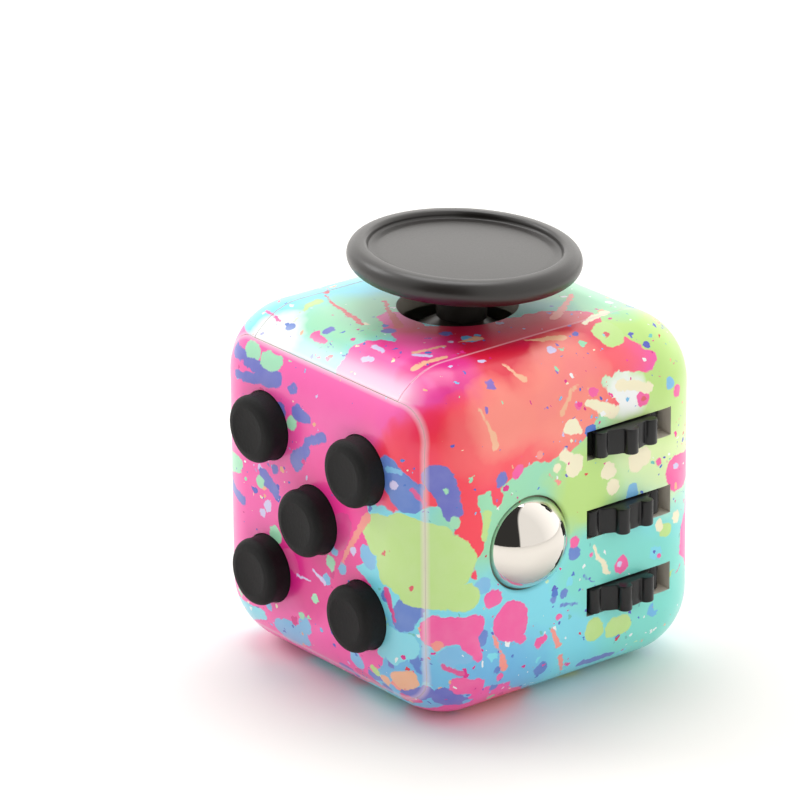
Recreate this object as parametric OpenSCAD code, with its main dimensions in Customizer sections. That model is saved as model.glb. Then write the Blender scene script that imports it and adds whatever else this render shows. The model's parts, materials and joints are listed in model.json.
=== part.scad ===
// Fidget cube: a rounded cube with a different thing to fiddle with on each face.
// Origin: centre of the bottom face. +Z up. Buttons on -Y, ball and wheels on +X,
// thumb stick on +Z, dial on -X, rocker on +Y, thumb dish on -Z. Millimetres.

/* [Body] */
// Side of the cube
body_size = 33; // [32.5:0.5:34]
// Radius of every outer edge and corner
edge_r = 6.5; // [6:0.25:6.75]
// Thickness of the casing wall
wall = 1.8; // [1.6:0.1:2]
// Distance from the middle of the cube to each side cover's seam
seam_x = 10.35; // [10.3:0.05:11]
// Width of the gap at each seam
seam_gap = 0.1; // [0.06:0.02:0.16]

/* [Panels] */
// Side of the two inset panels
panel_size = 28; // [27.5:0.25:28.25]
// Corner radius of the inset panels
panel_corner_r = 3.3; // [2.5:0.1:4]
// Distance from the middle of the cube to the ledge behind a panel
panel_seat = 13.5; // [13.4:0.05:13.6]

/* [Buttons] */
// Diameter of a button
button_d = 6.36; // [6:0.02:6.6]
// How far a button stands out of its panel
button_out = 2.17; // [1.8:0.01:2.6]
// Side of the square on which the four outer buttons sit
button_pitch = 13.86; // [13.6:0.02:14.2]

/* [Ball] */
// Diameter of the roller ball
ball_d = 9.2; // [9:0.1:9.3]
// How far the ball's centre lies under the face
ball_depth = 2; // [1.9:0.05:2.1]
// Sideways place of the ball on its face
ball_y = -5.3; // [-5.5:0.1:-5.2]

/* [Wheels] */
// Diameter of a wheel over its lobes
wheel_d = 10.6; // [10.2:0.1:10.6]
// Thickness of a wheel
wheel_t = 2.4; // [2.2:0.05:2.4]
// Number of lobes on a wheel
wheel_lobes = 10; // [8:1:12]
// How far the wheels stand out of the face
wheel_out = 1.9; // [1.6:0.1:2]
// Sideways place of the wheels' axle
wheel_y = 5.7; // [5.6:0.1:5.9]
// Height from one wheel to the next
wheel_pitch = 7.5; // [7.3:0.1:7.7]
// Height of a wheel's slot
slot_h = 2.72; // [2.7:0.02:2.9]

/* [Thumb stick] */
// Diameter of the thumb cap
cap_d = 21.2; // [20:0.1:21.5]
// Height of the cap's rim over the top face
cap_rise = 5.8; // [5.5:0.1:6]
// Diameter of the stem
stem_d = 4.6; // [4.2:0.1:4.8]
// Diameter of the hole in the top face
stick_hole_d = 11; // [10.8:0.1:11.2]
// How far the stick rests out of upright, turned about the X axis
lean_x = -2.3; // [-3:0.1:3]
// How far the stick rests out of upright, turned about the Y axis
lean_y = 1.9; // [-3:0.1:3]

/* [Dial] */
// Diameter of the dial
dial_d = 13.6; // [12:0.2:14]
// How far the dial's finger knob stands out of the face
dial_out = 2.4; // [2:0.1:2.6]

/* [Rocker] */
// Width of the rocker
rocker_w = 7.4; // [7:0.1:7.5]
// Angle through which the rocker flips
rocker_swing = 24; // [20:1:24]

/* [Hidden] */
BUTTONS = ["upper_left", "upper_right", "centre", "lower_left", "lower_right"];
WHEELS = ["upper", "middle", "lower"];

$fn = 64;
hull_fn = 32;
half = body_size / 2;
inner = half - wall;
fit = 0.06;
cut = 0.5;
tight = 0.02;

// Inset panels: a tray with a rim, held by hooks behind the ledge
panel_half = panel_size / 2;
panel_gap = 0.08;
panel_rim = 1.5;
panel_skin = wall - 0.2;
ledge_t = 1.2;
ledge_half = 15.2;
ledge_corner_r = 5.2;
window_half = 12.2;
window_corner_r = 2;
window_depth = 3;
hook_t = 0.55;
hook_w = 4;
hook_u = 6;
hook_grip = 0.6;

// Snap tabs of the side covers
tab_u = 5;
tab_half = 2;
tab_v = inner - 0.6;
tab_t = 1;
tab_in = 1.2;
tab_out = 1.5;

// Buttons
button_r = button_d / 2;
button_round = 0.7;
flange_r = 3.9;
flange_t = 0.8;
flange_w = inner - 0.15;
board_w = 12.4;
board_t = 1.2;
board_half = 11.5;
boss_at = 10.2;
boss_r = 1.5;
board_pilot = 2.6;

// Snap domes
snap_t = 0.3;
dome_crown_r = 1.5;
dome_foot_r = 2.6;
dome_foot_t = 0.7;
click_foot_r = 3.4;

// Screws
screw_l = 3.4;
screw_r = 0.55;
screw_head_r = 1;
screw_head_t = 0.6;
recess_l = 1.1;
recess_w = 0.25;
recess_t = 0.25;
pilot_r = screw_r + 0.01;
clear_r = screw_r + 0.1;

// Places of the buttons and of the board's screws
BUTTON_UV = [[-1, 1], [1, 1], [0, 0], [-1, -1], [1, -1]] * (button_pitch / 2);
BOSS_UV = [[boss_at, 0], [-boss_at, 0], [0, boss_at], [0, -boss_at]];

// Ball, its cup and its housing
ball_r = ball_d / 2;
ball_w = half - ball_depth;
ball_lip_r = 4.7;
cup_back = 9.2;
cup_front = 12.2;
cup_r = 4.4;
housing_r = 5;
housing_back = 6.3;
housing_front = 11.5;
housing_floor = 0.7;
housing_ear = 6.6;
housing_ear_t = 1.2;
housing_pilot_end = inner + 0.8;
cup_stem_r = 1.4;
cup_stem = 1;
lip_inner_r = 4.4;
lip_depth = 0.4;

// Wheels, their axle and bracket
wheel_r = wheel_d / 2;
wheel_w = half + wheel_out - wheel_r;
lobe_r = 0.68;
root_r = 4.5;
axle_r = 1;
WHEEL_V = [wheel_pitch, 0, -wheel_pitch];
WHEEL_PHASE = [-4, -14, -11];
slot_left = 1.3;
slot_right = 11.2;
pocket_r = wheel_r + 0.15;
bracket_back = 6.4;
bracket_left = 0.9;
bracket_right = 10.6;
bracket_half = 9.9;
ear_v = 12.7;
ear_u = 6.5;
ear_middle = 11.8;
ear_half_v = 2.2;
ear_half_u = 1.6;
ear_back = bracket_back + 1;
ear_t = 1.48;
ear_boss = bracket_back + 2.5;
ear_boss_end = inner - 1.2;
ear_pilot_end = inner - 2;
rib_left = 10.9;
rib_right = 12.8;
rib_half = 10.3;
rib_back = 12.4;

// Thumb stick
stick_pivot = 25;
cap_r = cap_d / 2;
cap_top = body_size + cap_rise;
cap_floor = cap_top - 0.65;
cap_bottom = cap_top - 2.1;
floor_r = 8.65;
fillet = 0.25;
rim_w = 1.25;
rim_h = 1.1;
cup_drop = 0.9;
neck_drop = 1.7;
stem_r = stem_d / 2;
stem_end = 32.05;
stick_hole_r = stick_hole_d / 2;
dome_r = 7;
dome_t = 1;
dome_edge_z = 28.3;
spigot_r = 1.3;
spigot_top = 35.4;
spindle_end = 18.4;
hub_r = 2.6;
hub_drop = 2;
ring_r = 4.4;
ring_in = 3.3;
ring_half_t = 0.9;
trunnion_r = 0.6;
trunnion_end = 5.3;
cross_pin_r = 0.5;
stick_box_in = 4.8;
stick_box_r = 5.6;
stick_box_bottom = 17.6;
stick_box_top = 26.2;
arm_at = 8.8;
arm_w = 2.8;
arm_top = 25.6;
arm_t = 1.2;
pilot_depth = 3.4;
box_wall = 0.8;
box_hole_r = 3.2;
grommet_t = 1.6;
ARM_ANGLES = [130, 220, 310];

// Dial
dial_r = dial_d / 2;
dial_gap = 0.2;
dial_seat = half - 0.8;
dial_rim = half + 1.2;
dial_back_w = inner - 0.7;
dial_shaft_r = 2;
dial_shaft_end = 11.9;
detent_r = 4.2;
detent_t = 1.5;
knob_r = 2.2;
knob_at = 4;
dial_rim_t = 0.7;
dial_recess = 0.5;
dial_pilot = 3.2;
notch_r = 0.4;
notch_at = detent_r + 0.15;
notch_step = 15;
washer_r = 2.6;
washer_t = 0.4;
collar_t = 0.8;
spring_v = detent_r + 0.2;
spring_half = 4.5;
spring_nose_r = 0.35;
spring_strip = 0.25;
post_r = 0.5;
post_u = 4;
post_drop = spring_nose_r + post_r + 0.03;

// Rocker
rocker_tilt = rocker_swing / 2;
rocker_pivot = 13.4;
rocker_v = 5.6;
rocker_dip = 3;
rocker_end = rocker_dip + rocker_v * tan(rocker_tilt);
rocker_hub_r = 1.7;
pin_r = 0.75;
bezel_u = 5;
bezel_v = 7.8;
opening_u = rocker_w / 2 + 0.2;
opening_v = 6.65;
opening_corner_r = 0.4;
bezel_corner_r = 0.6;
bezel_flange = 0.7;
bezel_out = 0.4;
bezel_back = 8.6;
bezel_floor = 0.8;
cam_half = 1.6;
cam_h = 1;
cam_l = 3;
plunger_r = 0.9;
plunger_tip = -3.7;
plunger_nose = 0.5;
plunger_floor = 0.9;
plunger_open = -1.4;
plunger_wall = 0.25;
coil_r = 0.5;
wire_r = 0.1;
coil_turns = 5;
end_t = 1.6;
heel = 0.8;
keel = -0.8;

// Thumb dish
dish_hole_r = 8.6;
dish_flange_r = 9.5;
dish_back_r = 8.3;
dish_r = 8;
dish_depth = 2.4;
dish_face = 0.2;
dish_top = 3.8;
dish_flange_t = 0.5;

// Each face has its own frame: u and v across it, w outwards from the cube's middle.
module front_face() { translate([0, 0, half]) rotate([90, 0, 0]) children(); }
module back_face() { translate([0, 0, half]) rotate([90, 0, 180]) children(); }
module right_face() { translate([0, 0, half]) rotate([90, 0, 90]) children(); }
module left_face() { translate([0, 0, half]) rotate([90, 0, -90]) children(); }

// A cylinder along w, from w0 to w1
module rod(u, v, w0, w1, r) {
    translate([u, v, w0]) cylinder(h = w1 - w0, r = r);
}

// A box given by its lowest and highest corners
module span(lo, hi) {
    translate(lo) cube(hi - lo);
}

module rounded_rect(hu, hv, r) {
    square([2 * hu, 2 * (hv - r)], center = true);
    square([2 * (hu - r), 2 * hv], center = true);
    for (su = [-1, 1], sv = [-1, 1]) {
        translate([su * (hu - r), sv * (hv - r)]) circle(r = r);
    }
}

module plate(hu, hv, r, w0, w1) {
    translate([0, 0, w0]) linear_extrude(height = w1 - w0) rounded_rect(hu, hv, r);
}

// A ball with points on all six axes, so that a hull of such balls has true flats
module globe(r) {
    rotate_extrude($fn = hull_fn) polygon([for (a = [-90 : 360 / hull_fn : 90]) [r * cos(a), r * sin(a)]]);
}

// The cube, rounded alike on every edge and corner
module rounded_block(h, r) {
    f = h - r;
    translate([0, 0, half]) hull() {
        for (x = [-f, f], y = [-f, f], z = [-f, f]) {
            translate([x, y, z]) globe(r);
        }
    }
}

// A self-tapping screw along w, its head's seat at w0, driven towards +w
module screw(u, v, w0, length) {
    difference() {
        union() {
            rod(u, v, w0 - screw_head_t, w0, screw_head_r);
            rod(u, v, w0, w0 + length, screw_r);
        }
        for (a = [0, 90]) {
            translate([u, v, w0 - screw_head_t]) rotate([0, 0, a])
                cube([recess_l, recess_w, 2 * recess_t], center = true);
        }
    }
}

// ---- casing ----

module ledge() {
    ledge_in = panel_seat - ledge_t;
    difference() {
        plate(ledge_half, ledge_half, ledge_corner_r, ledge_in, panel_seat);
        plate(window_half, window_half, window_corner_r, ledge_in - cut, panel_seat + cut);
    }
}

module panel_pocket() {
    reach = panel_half + panel_gap;
    plate(reach, reach, panel_corner_r + panel_gap, panel_seat, half + cut);
}

module panel_window() {
    plate(window_half, window_half, window_corner_r, inner - window_depth, half);
}

// The whole hollow casing before it is split at its seams
module casing() {
    difference() {
        union() {
            difference() {
                rounded_block(half, edge_r);
                rounded_block(inner, edge_r - wall);
            }
            front_face() ledge();
            back_face() ledge();
        }
        front_face() panel_pocket();
        back_face() panel_pocket();
        front_face() panel_window();
        back_face() panel_window();
    }
}

// The part of the casing between the side covers, from z0 to z1
module casing_band(z0, z1) {
    reach = seam_x - seam_gap / 2;
    intersection() {
        casing();
        span([-reach, -half - cut, z0], [reach, half + cut, z1]);
    }
}

module top_shell() {
    color("hotpink") difference() {
        union() {
            casing_band(half, body_size + cut);
            for (a = ARM_ANGLES) {
                rotate([0, 0, a]) rod(arm_at, 0, arm_top, body_size - 1, arm_w / 2);
            }
        }
        rod(0, 0, inner + half - cut, body_size + cut, stick_hole_r);
        for (a = ARM_ANGLES) {
            rotate([0, 0, a]) rod(arm_at, 0, arm_top - cut, arm_top + pilot_depth, pilot_r);
        }
    }
}

module bottom_shell() {
    color("skyblue") difference() {
        casing_band(-cut, half);
        rod(0, 0, -cut, wall + cut, dish_hole_r);
    }
}

// Snap tabs that reach under the top and bottom shells' walls
module cover_tabs() {
    for (sv = [-1, 1], u = [-tab_u, tab_u]) {
        v = sv * tab_v;
        span([u - tab_half, v - tab_t / 2, seam_x - tab_in], [u + tab_half, v + tab_t / 2, seam_x + tab_out]);
    }
}

module roll_cover() {
    color("mediumaquamarine") difference() {
        union() {
            intersection() {
                casing();
                span([seam_x + seam_gap / 2, -half - cut, -cut], [half + cut, half + cut, body_size + cut]);
            }
            right_face() {
                cover_tabs();
                for (sv = [-1, 1]) {
                    rod(ball_y, sv * housing_ear, housing_front, inner + cut, boss_r);
                    rod(ear_u, sv * ear_v, ear_boss, ear_boss_end, boss_r);
                }
                span([rib_left, -rib_half, rib_back], [rib_right, rib_half, inner]);
            }
        }
        right_face() {
            translate([ball_y, 0, ball_w]) sphere(r = ball_r + fit);
            translate([ball_y, 0, half - lip_depth])
                cylinder(h = lip_depth + 0.01, r1 = lip_inner_r, r2 = ball_lip_r);
            for (sv = [-1, 1]) {
                rod(ball_y, sv * housing_ear, housing_front - cut, housing_pilot_end, pilot_r);
                rod(ear_u, sv * ear_v, ear_boss - cut, ear_pilot_end, pilot_r);
            }
            for (v = WHEEL_V) {
                span([slot_left, v - slot_h / 2, rib_back - cut], [slot_right, v + slot_h / 2, half + cut]);
            }
        }
        for (v = WHEEL_V) {
            translate([wheel_w, wheel_y, half + v - slot_h / 2]) cylinder(h = slot_h, r = pocket_r);
        }
    }
}

module dial_cover() {
    color("deepskyblue") difference() {
        union() {
            intersection() {
                casing();
                span([-half - cut, -half - cut, -cut], [-seam_x - seam_gap / 2, half + cut, body_size + cut]);
            }
            left_face() {
                cover_tabs();
                rod(0, 0, dial_back_w, inner + 0.2, dial_r + collar_t);
                for (u = [-post_u, post_u]) rod(u, -spring_v - post_drop, dial_back_w - 1.3, inner, post_r);
            }
        }
        left_face() {
            rod(0, 0, dial_seat, half + cut, dial_r + dial_gap);
            rod(0, 0, dial_back_w - cut, half, dial_shaft_r + fit);
        }
    }
}

// A tray-shaped panel: flat outside, its edges following the cube's rounding
module panel_blank() {
    difference() {
        intersection() {
            translate([0, 0, -half]) rounded_block(half, edge_r);
            plate(panel_half, panel_half, panel_corner_r, panel_seat + tight, half + cut);
        }
        plate(panel_half - panel_rim, panel_half - panel_rim, window_corner_r,
            panel_seat - cut, half - panel_skin);
    }
    for (u = [-hook_u, hook_u], turn = [0, 180]) {
        rotate([0, 0, turn]) translate([u, 0, 0]) panel_hook();
    }
}

module panel_hook() {
    lo = window_half - hook_t - panel_gap;
    behind = panel_seat - ledge_t - panel_gap;
    foot = behind - hook_t;
    span([-hook_w / 2, lo, foot], [hook_w / 2, lo + hook_t, inner + hook_grip]);
    span([-hook_w / 2, lo, foot], [hook_w / 2, lo + hook_t + hook_grip, behind]);
}

module button_panel() {
    color("deeppink") front_face() difference() {
        union() {
            panel_blank();
            for (p = BOSS_UV) rod(p[0], p[1], board_w, inner + hook_grip, boss_r);
        }
        for (p = BUTTON_UV) rod(p[0], p[1], inner - cut, half + cut, button_r + fit + tight);
        for (p = BOSS_UV) rod(p[0], p[1], board_w - cut, board_w + board_pilot, pilot_r);
    }
}

module switch_panel() {
    color("orchid") back_face() difference() {
        panel_blank();
        plate(bezel_u + fit, bezel_v + fit, bezel_corner_r, inner - cut, half + cut);
    }
}

module thumb_dish() {
    ball_of_dish = (dish_r * dish_r + dish_depth * dish_depth) / (2 * dish_depth);
    color("paleturquoise") difference() {
        union() {
            rod(0, 0, dish_face, wall + 0.2, dish_hole_r - 0.05);
            rod(0, 0, wall + tight, wall + tight + dish_flange_t, dish_flange_r);
            rod(0, 0, wall + tight, dish_top, dish_back_r);
        }
        translate([0, 0, dish_face + dish_depth - ball_of_dish]) sphere(r = ball_of_dish, $fn = 96);
    }
}

// ---- buttons ----

// Outline of a button from its flange to its rounded front edge
function button_outline() = concat(
    [[0, flange_w - flange_t], [flange_r, flange_w - flange_t], [flange_r, flange_w], [button_r, flange_w]],
    [for (a = [0 : 15 : 90])
        [button_r - button_round + button_round * cos(a), half + button_out + button_round * (sin(a) - 1)]],
    [[0, half + button_out]]);

module button(p) {
    color("#202022") front_face() translate([p[0], p[1], 0])
        rotate_extrude() polygon(button_outline());
}

// A hollow snap dome under a button
module button_dome(p) {
    top = flange_w - flange_t;
    color("gold") front_face() translate([p[0], p[1], 0]) rotate_extrude() polygon([
        [dome_foot_r - dome_foot_t, board_w], [dome_foot_r, board_w], [dome_crown_r, top], [0, top],
        [0, top - snap_t], [dome_crown_r - snap_t, top - snap_t]]);
}

module button_board() {
    color("seagreen") front_face() difference() {
        plate(board_half, board_half, window_corner_r, board_w - board_t, board_w);
        for (p = BOSS_UV) rod(p[0], p[1], board_w - 2 * board_t, board_w + cut, clear_r);
    }
}

module board_screws() {
    color("silver") front_face() for (p = BOSS_UV) screw(p[0], p[1], board_w - board_t, screw_l);
}

// ---- lobed wheels ----

module wheel(v, phase) {
    color("#26282a") translate([wheel_w, wheel_y, half + v - wheel_t / 2]) difference() {
        linear_extrude(height = wheel_t) rotate([0, 0, phase]) {
            circle(r = root_r);
            for (k = [0 : wheel_lobes - 1]) {
                rotate([0, 0, k * 360 / wheel_lobes]) translate([wheel_r - lobe_r, 0]) circle(r = lobe_r);
            }
        }
        rod(0, 0, -cut, wheel_t + cut, axle_r + fit);
    }
}

module wheel_axle() {
    color("silver") translate([wheel_w, wheel_y, half]) rod(0, 0, -bracket_half, bracket_half, axle_r);
}

module wheel_bracket() {
    axle_hole = axle_r + tight;
    color("ivory") difference() {
        union() {
            intersection() {
                rounded_block(inner - 0.1, edge_r - wall - 0.1);
                right_face() span([bracket_left, -bracket_half, bracket_back],
                    [bracket_right, bracket_half, inner]);
            }
            right_face() for (sv = [-1, 1]) {
                span([ear_u - ear_half_u, sv * ear_middle - ear_half_v, ear_back],
                    [ear_u + ear_half_u, sv * ear_middle + ear_half_v, ear_back + ear_t]);
            }
        }
        for (v = WHEEL_V) translate([0, 0, half + v - slot_h / 2]) {
            translate([wheel_w, wheel_y, 0]) cylinder(h = slot_h, r = pocket_r);
            span([wheel_w, wheel_y - pocket_r, 0], [half, wheel_y + pocket_r, slot_h]);
        }
        translate([wheel_w, wheel_y, half]) rod(0, 0, -half, half, axle_hole);
        right_face() for (sv = [-1, 1]) {
            rod(ear_u, sv * ear_v, bracket_back, ear_back + 2 * ear_t, clear_r);
        }
    }
}

module bracket_screws() {
    color("silver") right_face() for (sv = [-1, 1]) screw(ear_u, sv * ear_v, ear_back, screw_l);
}

// ---- roller ball ----

module roller_ball() {
    color("gainsboro") right_face() translate([ball_y, 0, ball_w]) sphere(r = ball_r, $fn = 96);
}

module ball_cup() {
    color("whitesmoke") right_face() difference() {
        union() {
            rod(ball_y, 0, cup_back, cup_front, cup_r);
            rod(ball_y, 0, cup_back - cup_stem, cup_back, cup_stem_r);
        }
        translate([ball_y, 0, ball_w]) sphere(r = ball_r + fit, $fn = 96);
    }
}

module ball_click_dome() {
    base = housing_back + housing_floor;
    top = cup_back - cup_stem;
    color("gold") right_face() translate([ball_y, 0, 0]) rotate_extrude() polygon([
        [click_foot_r - dome_foot_t, base], [click_foot_r, base], [dome_crown_r, top], [0, top],
        [0, top - snap_t], [dome_crown_r - snap_t, top - snap_t]]);
}

module ball_housing() {
    color("dimgray") right_face() difference() {
        union() {
            rod(ball_y, 0, housing_back, housing_front, housing_r);
            span([ball_y - boss_r, -housing_ear, housing_front - housing_ear_t],
                [ball_y + boss_r, housing_ear, housing_front]);
            for (sv = [-1, 1]) {
                rod(ball_y, sv * housing_ear, housing_front - housing_ear_t, housing_front, boss_r);
            }
        }
        rod(ball_y, 0, housing_back + housing_floor, housing_front + cut, cup_r + fit + tight);
        for (sv = [-1, 1]) {
            rod(ball_y, sv * housing_ear, housing_front - 2 * housing_ear_t, housing_front + cut, clear_r);
        }
    }
}

module ball_housing_screws() {
    color("silver") right_face() {
        for (sv = [-1, 1]) screw(ball_y, sv * housing_ear, housing_front - housing_ear_t, screw_l);
    }
}

// ---- dial ----

module dial() {
    color("#26282a") left_face() difference() {
        union() {
            rod(0, 0, dial_seat + 0.1, dial_rim, dial_r);
            rod(0, 0, dial_shaft_end, dial_seat + 0.2, dial_shaft_r);
            rod(0, knob_at, dial_rim - 0.1, half + dial_out, knob_r);
        }
        translate([0, 0, dial_rim - dial_recess]) difference() {
            rod(0, 0, 0, dial_recess + cut, dial_r - dial_rim_t);
            rod(0, knob_at, -cut, dial_recess + 2 * cut, knob_r);
        }
        rod(0, 0, dial_shaft_end - cut, dial_shaft_end + dial_pilot, pilot_r);
    }
}

module detent_wheel() {
    back = dial_back_w - 0.1 - detent_t;
    color("whitesmoke") left_face() difference() {
        translate([0, 0, back]) linear_extrude(height = detent_t) difference() {
            circle(r = detent_r);
            for (k = [0 : notch_step : 360 - notch_step]) {
                rotate([0, 0, k]) translate([0, -notch_at]) circle(r = notch_r);
            }
        }
        rod(0, 0, back - cut, back + detent_t + cut, dial_shaft_r + tight);
    }
}

module dial_washer() {
    color("silver") left_face() difference() {
        rod(0, 0, dial_shaft_end - washer_t, dial_shaft_end, washer_r);
        rod(0, 0, dial_shaft_end - 1, dial_shaft_end + cut, clear_r);
    }
}

module dial_screw() {
    color("silver") left_face() screw(0, 0, dial_shaft_end - washer_t, screw_l);
}

// A flat strip against two posts, whose nose rests in a notch of the detent wheel
module dial_click_spring() {
    w0 = dial_back_w - 1.1;
    w1 = dial_back_w - 0.4;
    color("goldenrod") left_face() {
        strip = -spring_v - spring_nose_r;
        span([-spring_half, strip, w0], [spring_half, strip + spring_strip, w1]);
        rod(0, -spring_v, w0, w1, spring_nose_r);
    }
}

// ---- rocker switch ----

module switch_bezel() {
    color("#2a2a2c") back_face() difference() {
        union() {
            plate(bezel_u, bezel_v, bezel_corner_r, bezel_back, half + 0.1);
            plate(bezel_u + bezel_flange, bezel_v + bezel_flange, 1, half + 0.01, half + bezel_out);
        }
        difference() {
            plate(opening_u, opening_v, opening_corner_r, bezel_back + bezel_floor, half + cut);
            translate([0, 0, bezel_back]) rotate([90, 0, 90]) linear_extrude(height = cam_l, center = true)
                polygon([[-cam_half, 0], [cam_half, 0], [0, cam_h]]);
        }
        translate([0, 0, rocker_pivot]) rotate([0, 90, 0])
            cylinder(h = 2 * bezel_u + 2, r = pin_r + tight, center = true);
    }
}

// The rocker as seen from its side: two thumb faces meeting in a shallow valley
module rocker_side() {
    polygon([
        [-rocker_v, rocker_end], [0, rocker_dip], [rocker_v, rocker_end],
        [rocker_v, rocker_end - end_t], [rocker_v - heel, 0.2], [1, keel], [-1, keel],
        [-rocker_v + heel, 0.2], [-rocker_v, rocker_end - end_t]]);
}

module in_rocker() {
    back_face() translate([0, 0, rocker_pivot]) rotate([rocker_tilt, 0, 0]) children();
}

module rocker() {
    color("#26282a") in_rocker() difference() {
        union() {
            rotate([90, 0, 90]) linear_extrude(height = rocker_w, center = true) rocker_side();
            rotate([0, 90, 0]) cylinder(h = rocker_w - 0.4, r = rocker_hub_r, center = true);
        }
        rotate([0, 90, 0]) cylinder(h = rocker_w + 2, r = pin_r + fit, center = true);
        rod(0, 0, -3, -pin_r - 0.25, plunger_r + fit);
    }
}

module rocker_pin() {
    color("silver") back_face() translate([0, 0, rocker_pivot]) rotate([0, 90, 0])
        cylinder(h = 2 * bezel_u - 0.1, r = pin_r, center = true);
}

module rocker_plunger() {
    color("whitesmoke") in_rocker() difference() {
        union() {
            rod(0, 0, plunger_tip + plunger_nose, plunger_open, plunger_r);
            translate([0, 0, plunger_tip]) cylinder(h = plunger_nose, r1 = plunger_nose, r2 = plunger_r);
        }
        rod(0, 0, plunger_tip + plunger_floor, 0, plunger_r - plunger_wall);
    }
}

// Points of one ring of a coil's wire, t turns along it
function coil_ring(r, wire, length, turns, t) = [for (k = [0 : 7])
    let (a = 360 * t, b = 45 * k, q = r + wire * cos(b))
    [q * cos(a), q * sin(a), wire + (length - 2 * wire) * t / turns + wire * sin(b)]];

module coil(r, wire, length, turns) {
    steps = 12 * turns;
    rings = [for (i = [0 : steps]) coil_ring(r, wire, length, turns, i / 12)];
    points = [for (ring = rings) each ring];
    sides = [for (i = [0 : steps - 1], k = [0 : 7])
        [8 * i + k, 8 * i + 8 + k, 8 * i + 8 + (k + 1) % 8, 8 * i + (k + 1) % 8]];
    ends = [[for (k = [0 : 7]) k], [for (k = [7 : -1 : 0]) 8 * steps + k]];
    polyhedron(points, concat(sides, ends));
}

module plunger_spring() {
    foot = plunger_tip + plunger_floor + tight;
    color("silver") in_rocker() translate([0, 0, foot])
        coil(coil_r, wire_r, -pin_r - plunger_wall - tight - foot, coil_turns);
}

// ---- thumb stick ----

// The gimbal ring and its pin rest turned about the trunnions
module in_gimbal() {
    translate([0, 0, stick_pivot]) rotate([lean_x, 0, 0]) children();
}

// The stick rests turned about the pin as well
module in_stick() {
    in_gimbal() rotate([0, lean_y, 0]) translate([0, 0, -stick_pivot]) children();
}

// Outline of the cap: rounded rim, sunken floor, underside tapering to the stem
function cap_outline() = let (mid = cap_top - rim_h) concat(
    [[0, cap_floor], [floor_r - fillet, cap_floor], [floor_r, cap_floor + fillet]],
    [[floor_r + fillet / 2, cap_top - fillet], [floor_r + 2 * fillet, cap_top]],
    [for (a = [75 : -15 : -75]) [cap_r - rim_w + rim_w * cos(a), mid + (a > 0 ? rim_h : 1) * sin(a)]],
    [[cap_r - 1.4 * rim_w, cap_bottom], [2 * stem_r, cap_bottom - cup_drop]],
    [[stem_r, cap_bottom - neck_drop], [stem_r, stem_end]],
    [[0, stem_end]]);

module stick_cap() {
    color("#3a3836") in_stick() difference() {
        rotate_extrude($fn = 96) polygon(cap_outline());
        rod(0, 0, stem_end - cut, spigot_top + fit, spigot_r + 0.01);
    }
}

module stick_spindle() {
    color("#303230") in_stick() difference() {
        union() {
            translate([0, 0, stick_pivot]) difference() {
                sphere(r = dome_r, $fn = 96);
                sphere(r = dome_r - dome_t, $fn = 96);
                span([-1, -1, -1] * 2 * dome_r, [2 * dome_r, 2 * dome_r, dome_edge_z - stick_pivot]);
            }
            rod(0, 0, stick_pivot - hub_drop, stick_pivot + dome_r - dome_t / 2, hub_r);
            rod(0, 0, spindle_end, stick_pivot, spigot_r);
            rod(0, 0, stick_pivot + dome_r - dome_t, spigot_top, spigot_r);
        }
        translate([0, 0, stick_pivot]) rotate([90, 0, 0])
            cylinder(h = 3 * hub_r, r = cross_pin_r + fit, center = true);
    }
}

module stick_gimbal() {
    color("whitesmoke") in_gimbal() difference() {
        union() {
            rod(0, 0, -ring_half_t, ring_half_t, ring_r);
            for (a = [-90, 90]) {
                rotate([0, a, 0]) rod(0, 0, ring_in, trunnion_end, trunnion_r);
            }
        }
        rod(0, 0, -2, 2, ring_in);
        rotate([90, 0, 0])
            cylinder(h = 3 * ring_r, r = cross_pin_r + tight, center = true);
    }
}

module gimbal_pin() {
    color("silver") in_gimbal() rotate([90, 0, 0])
        cylinder(h = 2 * ring_r - 0.1, r = cross_pin_r, center = true);
}

module stick_housing() {
    color("dimgray") difference() {
        union() {
            rod(0, 0, stick_box_bottom, stick_box_top, stick_box_r);
            for (a = ARM_ANGLES) rotate([0, 0, a]) {
                span([0, -arm_w / 2, arm_top - arm_t], [arm_at, arm_w / 2, arm_top]);
                rod(arm_at, 0, arm_top - arm_t, arm_top, arm_w / 2);
            }
        }
        rod(0, 0, stick_box_bottom + box_wall, stick_box_top + cut, stick_box_in);
        rod(0, 0, stick_box_bottom - cut, stick_box_bottom + 2 * box_wall, box_hole_r);
        translate([0, 0, stick_pivot]) rotate([0, 90, 0])
            cylinder(h = 3 * stick_box_in, r = trunnion_r + fit, center = true);
        for (a = ARM_ANGLES) {
            rotate([0, 0, a]) rod(arm_at, 0, arm_top - 2, arm_top + 1, clear_r);
        }
    }
}

// Rubber ring that pulls the stick's lower end back to the middle
module centring_grommet() {
    base = stick_box_bottom + box_wall + tight;
    color("#444444") difference() {
        rod(0, 0, base, base + grommet_t, stick_box_in - tight);
        in_stick() rod(0, 0, base - cut, base + grommet_t + cut, spigot_r + tight);
    }
}

module stick_screws() {
    color("silver") for (a = ARM_ANGLES) {
        rotate([0, 0, a]) screw(arm_at, 0, arm_top - arm_t - tight, screw_l);
    }
}

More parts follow.
